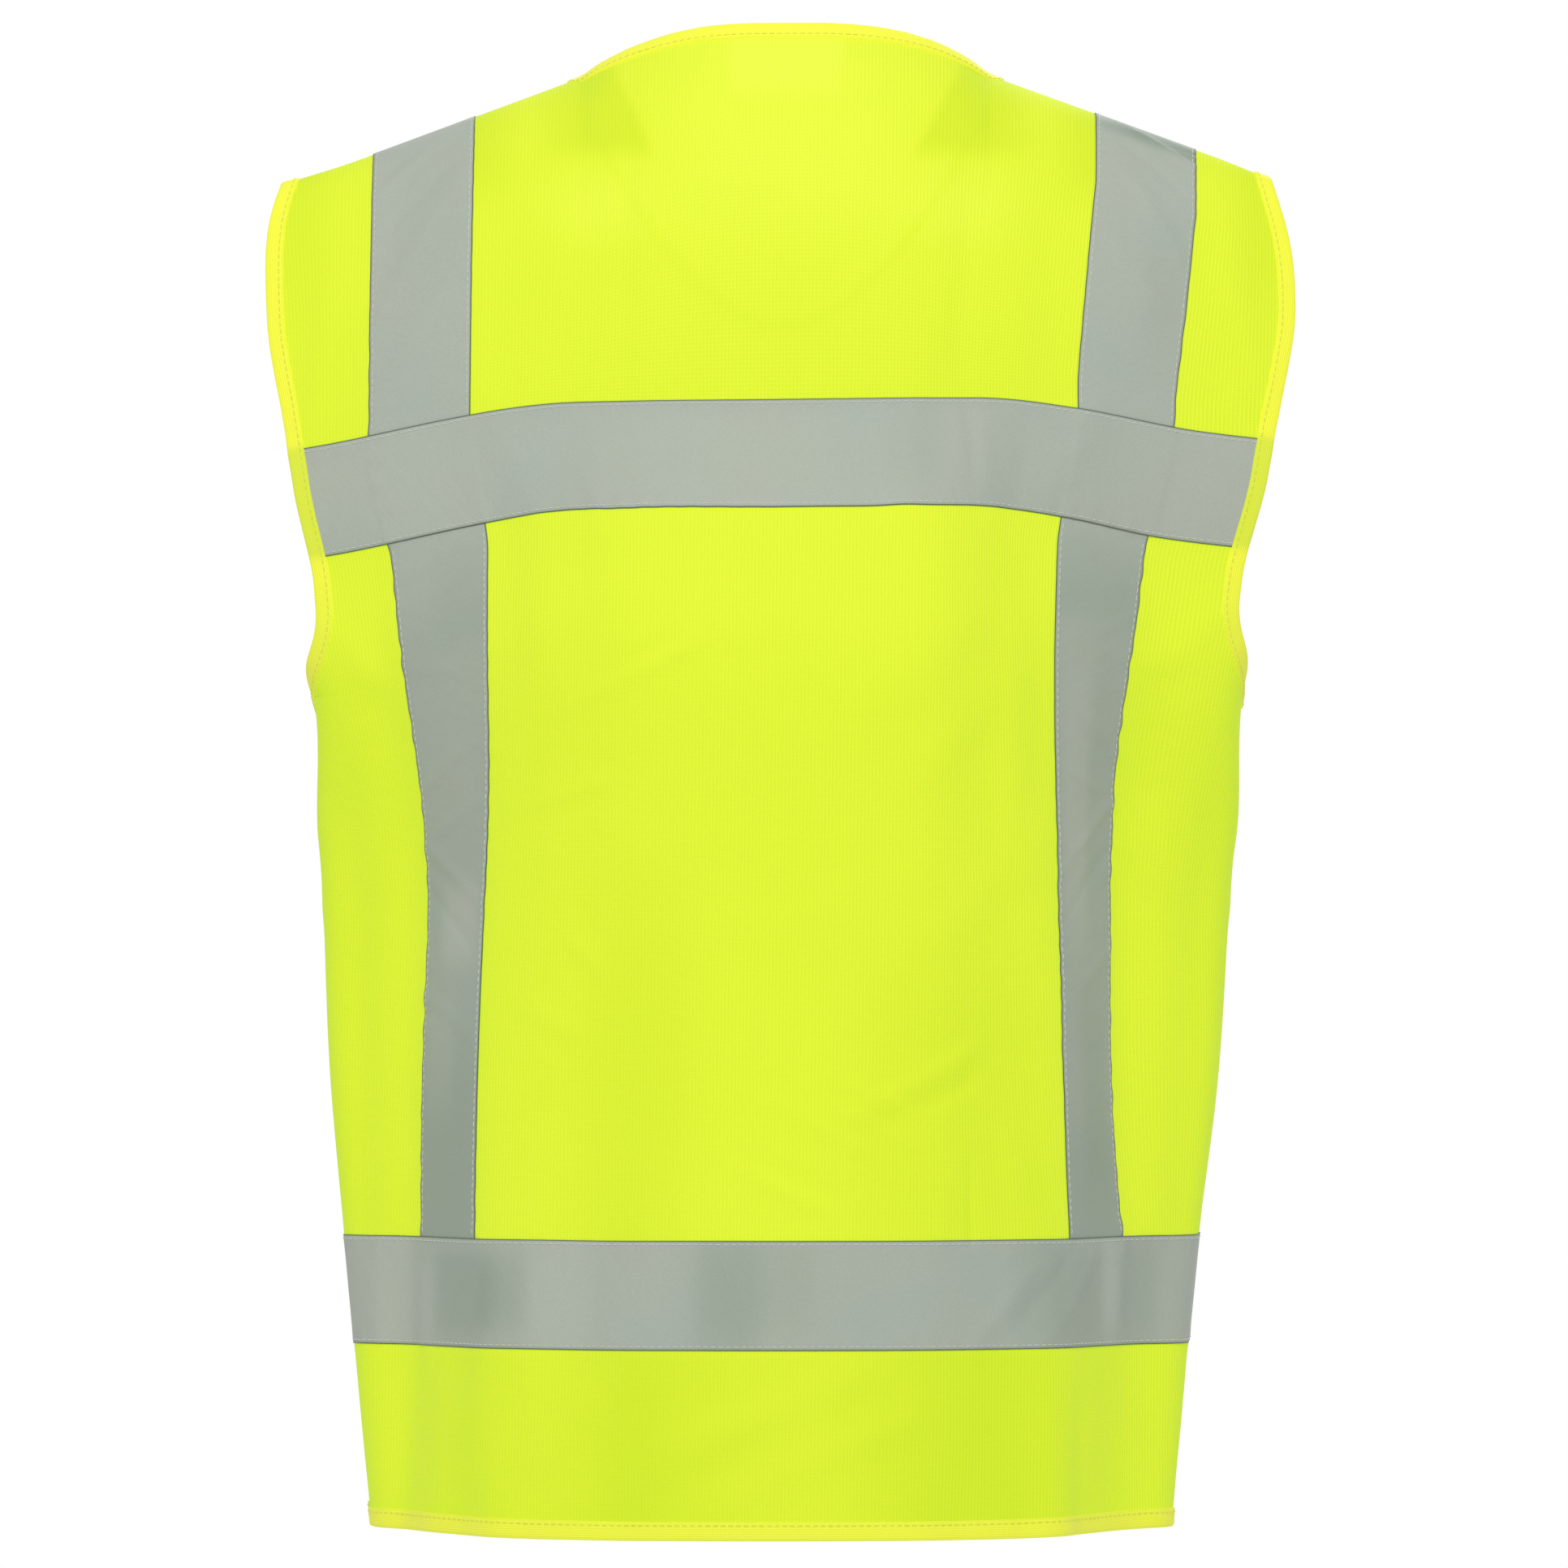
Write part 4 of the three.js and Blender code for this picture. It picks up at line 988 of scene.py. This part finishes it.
share = np.sin(np.radians(np.linspace(-90, 90, 181)))
s = NECK * share
v = neck_top(s)
inner_s, inner_v = square_in(s, v, INNER, -1)
inner_s[[0, -1]], inner_v[[0, -1]] = s[[0, -1]] * (1 + 4 / NECK), v[[0, -1]]
edge, inwards, normal = edge_frame(1, False, s, v, inner_s, inner_v)
piece = binding("back_neck_edge", edge, inwards, normal, False, "garment")
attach(piece, "garment")
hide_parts("neck_binding")
edge_pieces["garment"].append(piece)

s = np.linspace(-GIRTH, GIRTH, 480)
v = np.full(s.shape, HEM)
edge, inwards, normal = edge_frame(1, False, s, v, s, v + INNER)
piece = binding("back_hem_edge", edge, inwards, normal, False, "garment", HEM_PAINTED_SHADE)
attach(piece, "garment")
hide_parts("hem_binding")
edge_pieces["garment"].append(piece)

# ----------
# The stitching: lockstitch, 3.5 mm to the stitch, grey thread down both edges of every tape
# and yellow thread through the bindings. Each stitch dips into the cloth at both its ends.
# ----------
PITCH, STITCH, THREAD = 3.5, 2.7, 0.25


def stitches(name, paths, paint):
    """Short threads along the paths: rings of five points, thick in the middle."""
    ring_at = np.array([0.0, 0.18, 0.5, 0.82, 1.0])
    ring_size = np.array([0.35, 0.9, 1.0, 0.9, 0.35]) * THREAD
    ring_lift = np.array([-0.16, 0.04, 0.12, 0.04, -0.16])
    spokes = np.radians(np.arange(0, 360, 72))
    blocks = []
    for points, normals in paths:
        arc = run_along(points) * 1000
        first = np.arange(1.0, arc[-1] - STITCH, PITCH)
        places = first[:, None] + ring_at * STITCH
        centre = np.stack([np.interp(places, arc, points[:, k]) for k in range(3)], -1)
        up = np.stack([np.interp(places, arc, normals[:, k]) for k in range(3)], -1)
        along = centre[:, -1:] - centre[:, :1]
        along = along / np.linalg.norm(along, axis=-1, keepdims=True)
        over = np.cross(along, up)
        centre = centre + up * ring_lift[None, :, None] / 1000
        ring = np.cos(spokes)[:, None] * over[:, :, None] + np.sin(spokes)[:, None] * up[:, :, None]
        ring = centre[:, :, None] + ring * ring_size[None, :, None, None] / 1000
        blocks.append(ring.reshape(-1, 25, 3))
    points = np.concatenate(blocks)
    walls = np.array([(r * 5 + k, r * 5 + (k + 1) % 5, r * 5 + 5 + (k + 1) % 5, r * 5 + 5 + k)
                      for r in range(4) for k in range(5)])
    caps = np.array([(4, 3, 2, 1, 0), (20, 21, 22, 23, 24)])
    start = (np.arange(len(points)) * 25)[:, None, None]
    faces = (walls[None] + start).reshape(-1, 4).tolist() + (caps[None] + start).reshape(-1, 5).tolist()
    mesh = bpy.data.meshes.new(name)
    mesh.from_pydata(points.reshape(-1, 3), [], faces)
    mesh.polygons.foreach_set("use_smooth", np.ones(len(mesh.polygons), bool))
    mesh.materials.append(paint)
    return placed(name, mesh)


def spun(name, dark, light):
    """Sewing thread: strands in two shades."""
    paint, tree, shader = new_paint(name, Roughness=0.55)
    tree.links.new(mixed(tree, mottle(tree, 900.0), dark, light), shader.inputs["Base Color"])
    return paint


grey_thread = spun("grey_thread", (0.50, 0.52, 0.48, 1), (0.74, 0.76, 0.70, 1))
yellow_thread = spun("yellow_thread", (0.62, 0.74, 0.03, 1), (0.85, 0.92, 0.12, 1))
TAPE_LINES = {"garment": 20, 1: 4, -1: 4}  # the first lines of each list are on tape
sewing = {}
for key, label in (("garment", "back"), (1, "left_front"), (-1, "right_front")):
    for kind, paths, paint, slot_name in (
            ("tape", stitch_paths[key][:TAPE_LINES[key]], grey_thread, "tape"),
            ("edge", stitch_paths[key][TAPE_LINES[key]:], yellow_thread, "binding")):
        piece = stitches(f"{label}_{kind}_stitching", paths, paint)
        if key == "garment":
            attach(piece, "garment")
        else:
            swing(piece, key)
        sewing.setdefault(key, []).append(piece)

# ----------
# The closure: 20 mm woven hook and loop strips, sewn on. The loop strip faces out on the
# right front's edge, and the hook strip faces in under the left front's lap.
# ----------


def pile():
    """Hook and loop face: fine tufts in the vest's yellow, with painted shade down between them."""
    paint, tree, shader = new_paint("hook_and_loop", Roughness=0.95, Sheen_Weight=0.4)
    tufts = mottle(tree, 1500.0, 4.0)
    # Painted shade: the pile is darker where its tufts dip.
    colour = mixed(tree, tufts, (0.42, 0.56, 0.02, 1), (0.80, 0.88, 0.10, 1))
    tree.links.new(colour, shader.inputs["Base Color"])
    bump(tree, tufts, shader, 0.9, 0.0012)
    return paint


PILE = pile()
STRIP_LOW, STRIP_HIGH = -628, -276
for side, name, level, body in ((-1, "loop_strip", 0.9, "right_front"),
                                (1, "hook_strip", -0.9, "left_front")):
    rows = np.linspace(STRIP_LOW, STRIP_HIGH, 180)[:, None]
    cut_s, cut_v = np.broadcast_arrays(np.linspace(-10, 10, 15), rows)
    points, _ = garment(side, True, cut_s, cut_v, level, LAP_LIFT[side])
    strip = grid_piece(f"{name}_pile", points, np.stack([cut_s, cut_v], -1), PILE, 1.0, side < 0)
    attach(strip, body)
    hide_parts(name)

# ----------
# The labels: white satin, one caught under the back neck binding and one in the left side
# seam. Both hang free inside, curl a little and carry no print.
# ----------


def satin():
    """White label satin with a fine twill, painted a little darker in its grooves as shade, and a soft
    shine.
    """
    paint, tree, shader = new_paint("label_satin", Roughness=0.4)
    s, v = pattern_axes(tree)
    twill = wave(tree, plus(tree, s, v), 0.0006)
    # Painted shade: the satin is darker where its twill dips.
    white = mixed(tree, twill, (0.78, 0.78, 0.74, 1), (0.90, 0.90, 0.87, 1))
    tree.links.new(white, shader.inputs["Base Color"])
    bump(tree, twill, shader, 0.25, 0.0001)
    return paint


SATIN = satin()
low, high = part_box("size_label")
over, down = np.meshgrid(np.linspace(low[0], high[0], 40), np.linspace(0, 1, 36))
curl = 0.0016 * np.sin(down * 3.1) * (over / high[0]) ** 2 + 0.0008 * np.sin(down * 5)
points = np.stack([over, (low[1] + high[1]) / 2 - curl, high[2] + (low[2] - high[2]) * down], -1)
size_label = grid_piece("size_label_satin", points, np.stack([over, down * 0.044], -1) * 1000, SATIN, 0.25)
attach(size_label, "size_label")
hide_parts("size_label")
low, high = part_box("care_label")
back, down = np.meshgrid(np.linspace(low[1], high[1], 30), np.linspace(0, 1, 44))
curl = 0.0022 * ((back - low[1]) / (high[1] - low[1])) ** 2 * np.sin(down * 2.6 + 0.3)
points = np.stack([(low[0] + high[0]) / 2 - curl, back, high[2] + (low[2] - high[2]) * down], -1)
care_label = grid_piece("care_label_satin", points, np.stack([back, down * 0.062], -1) * 1000, SATIN, 0.25)
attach(care_label, "care_label")
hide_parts("care_label")

low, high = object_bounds()
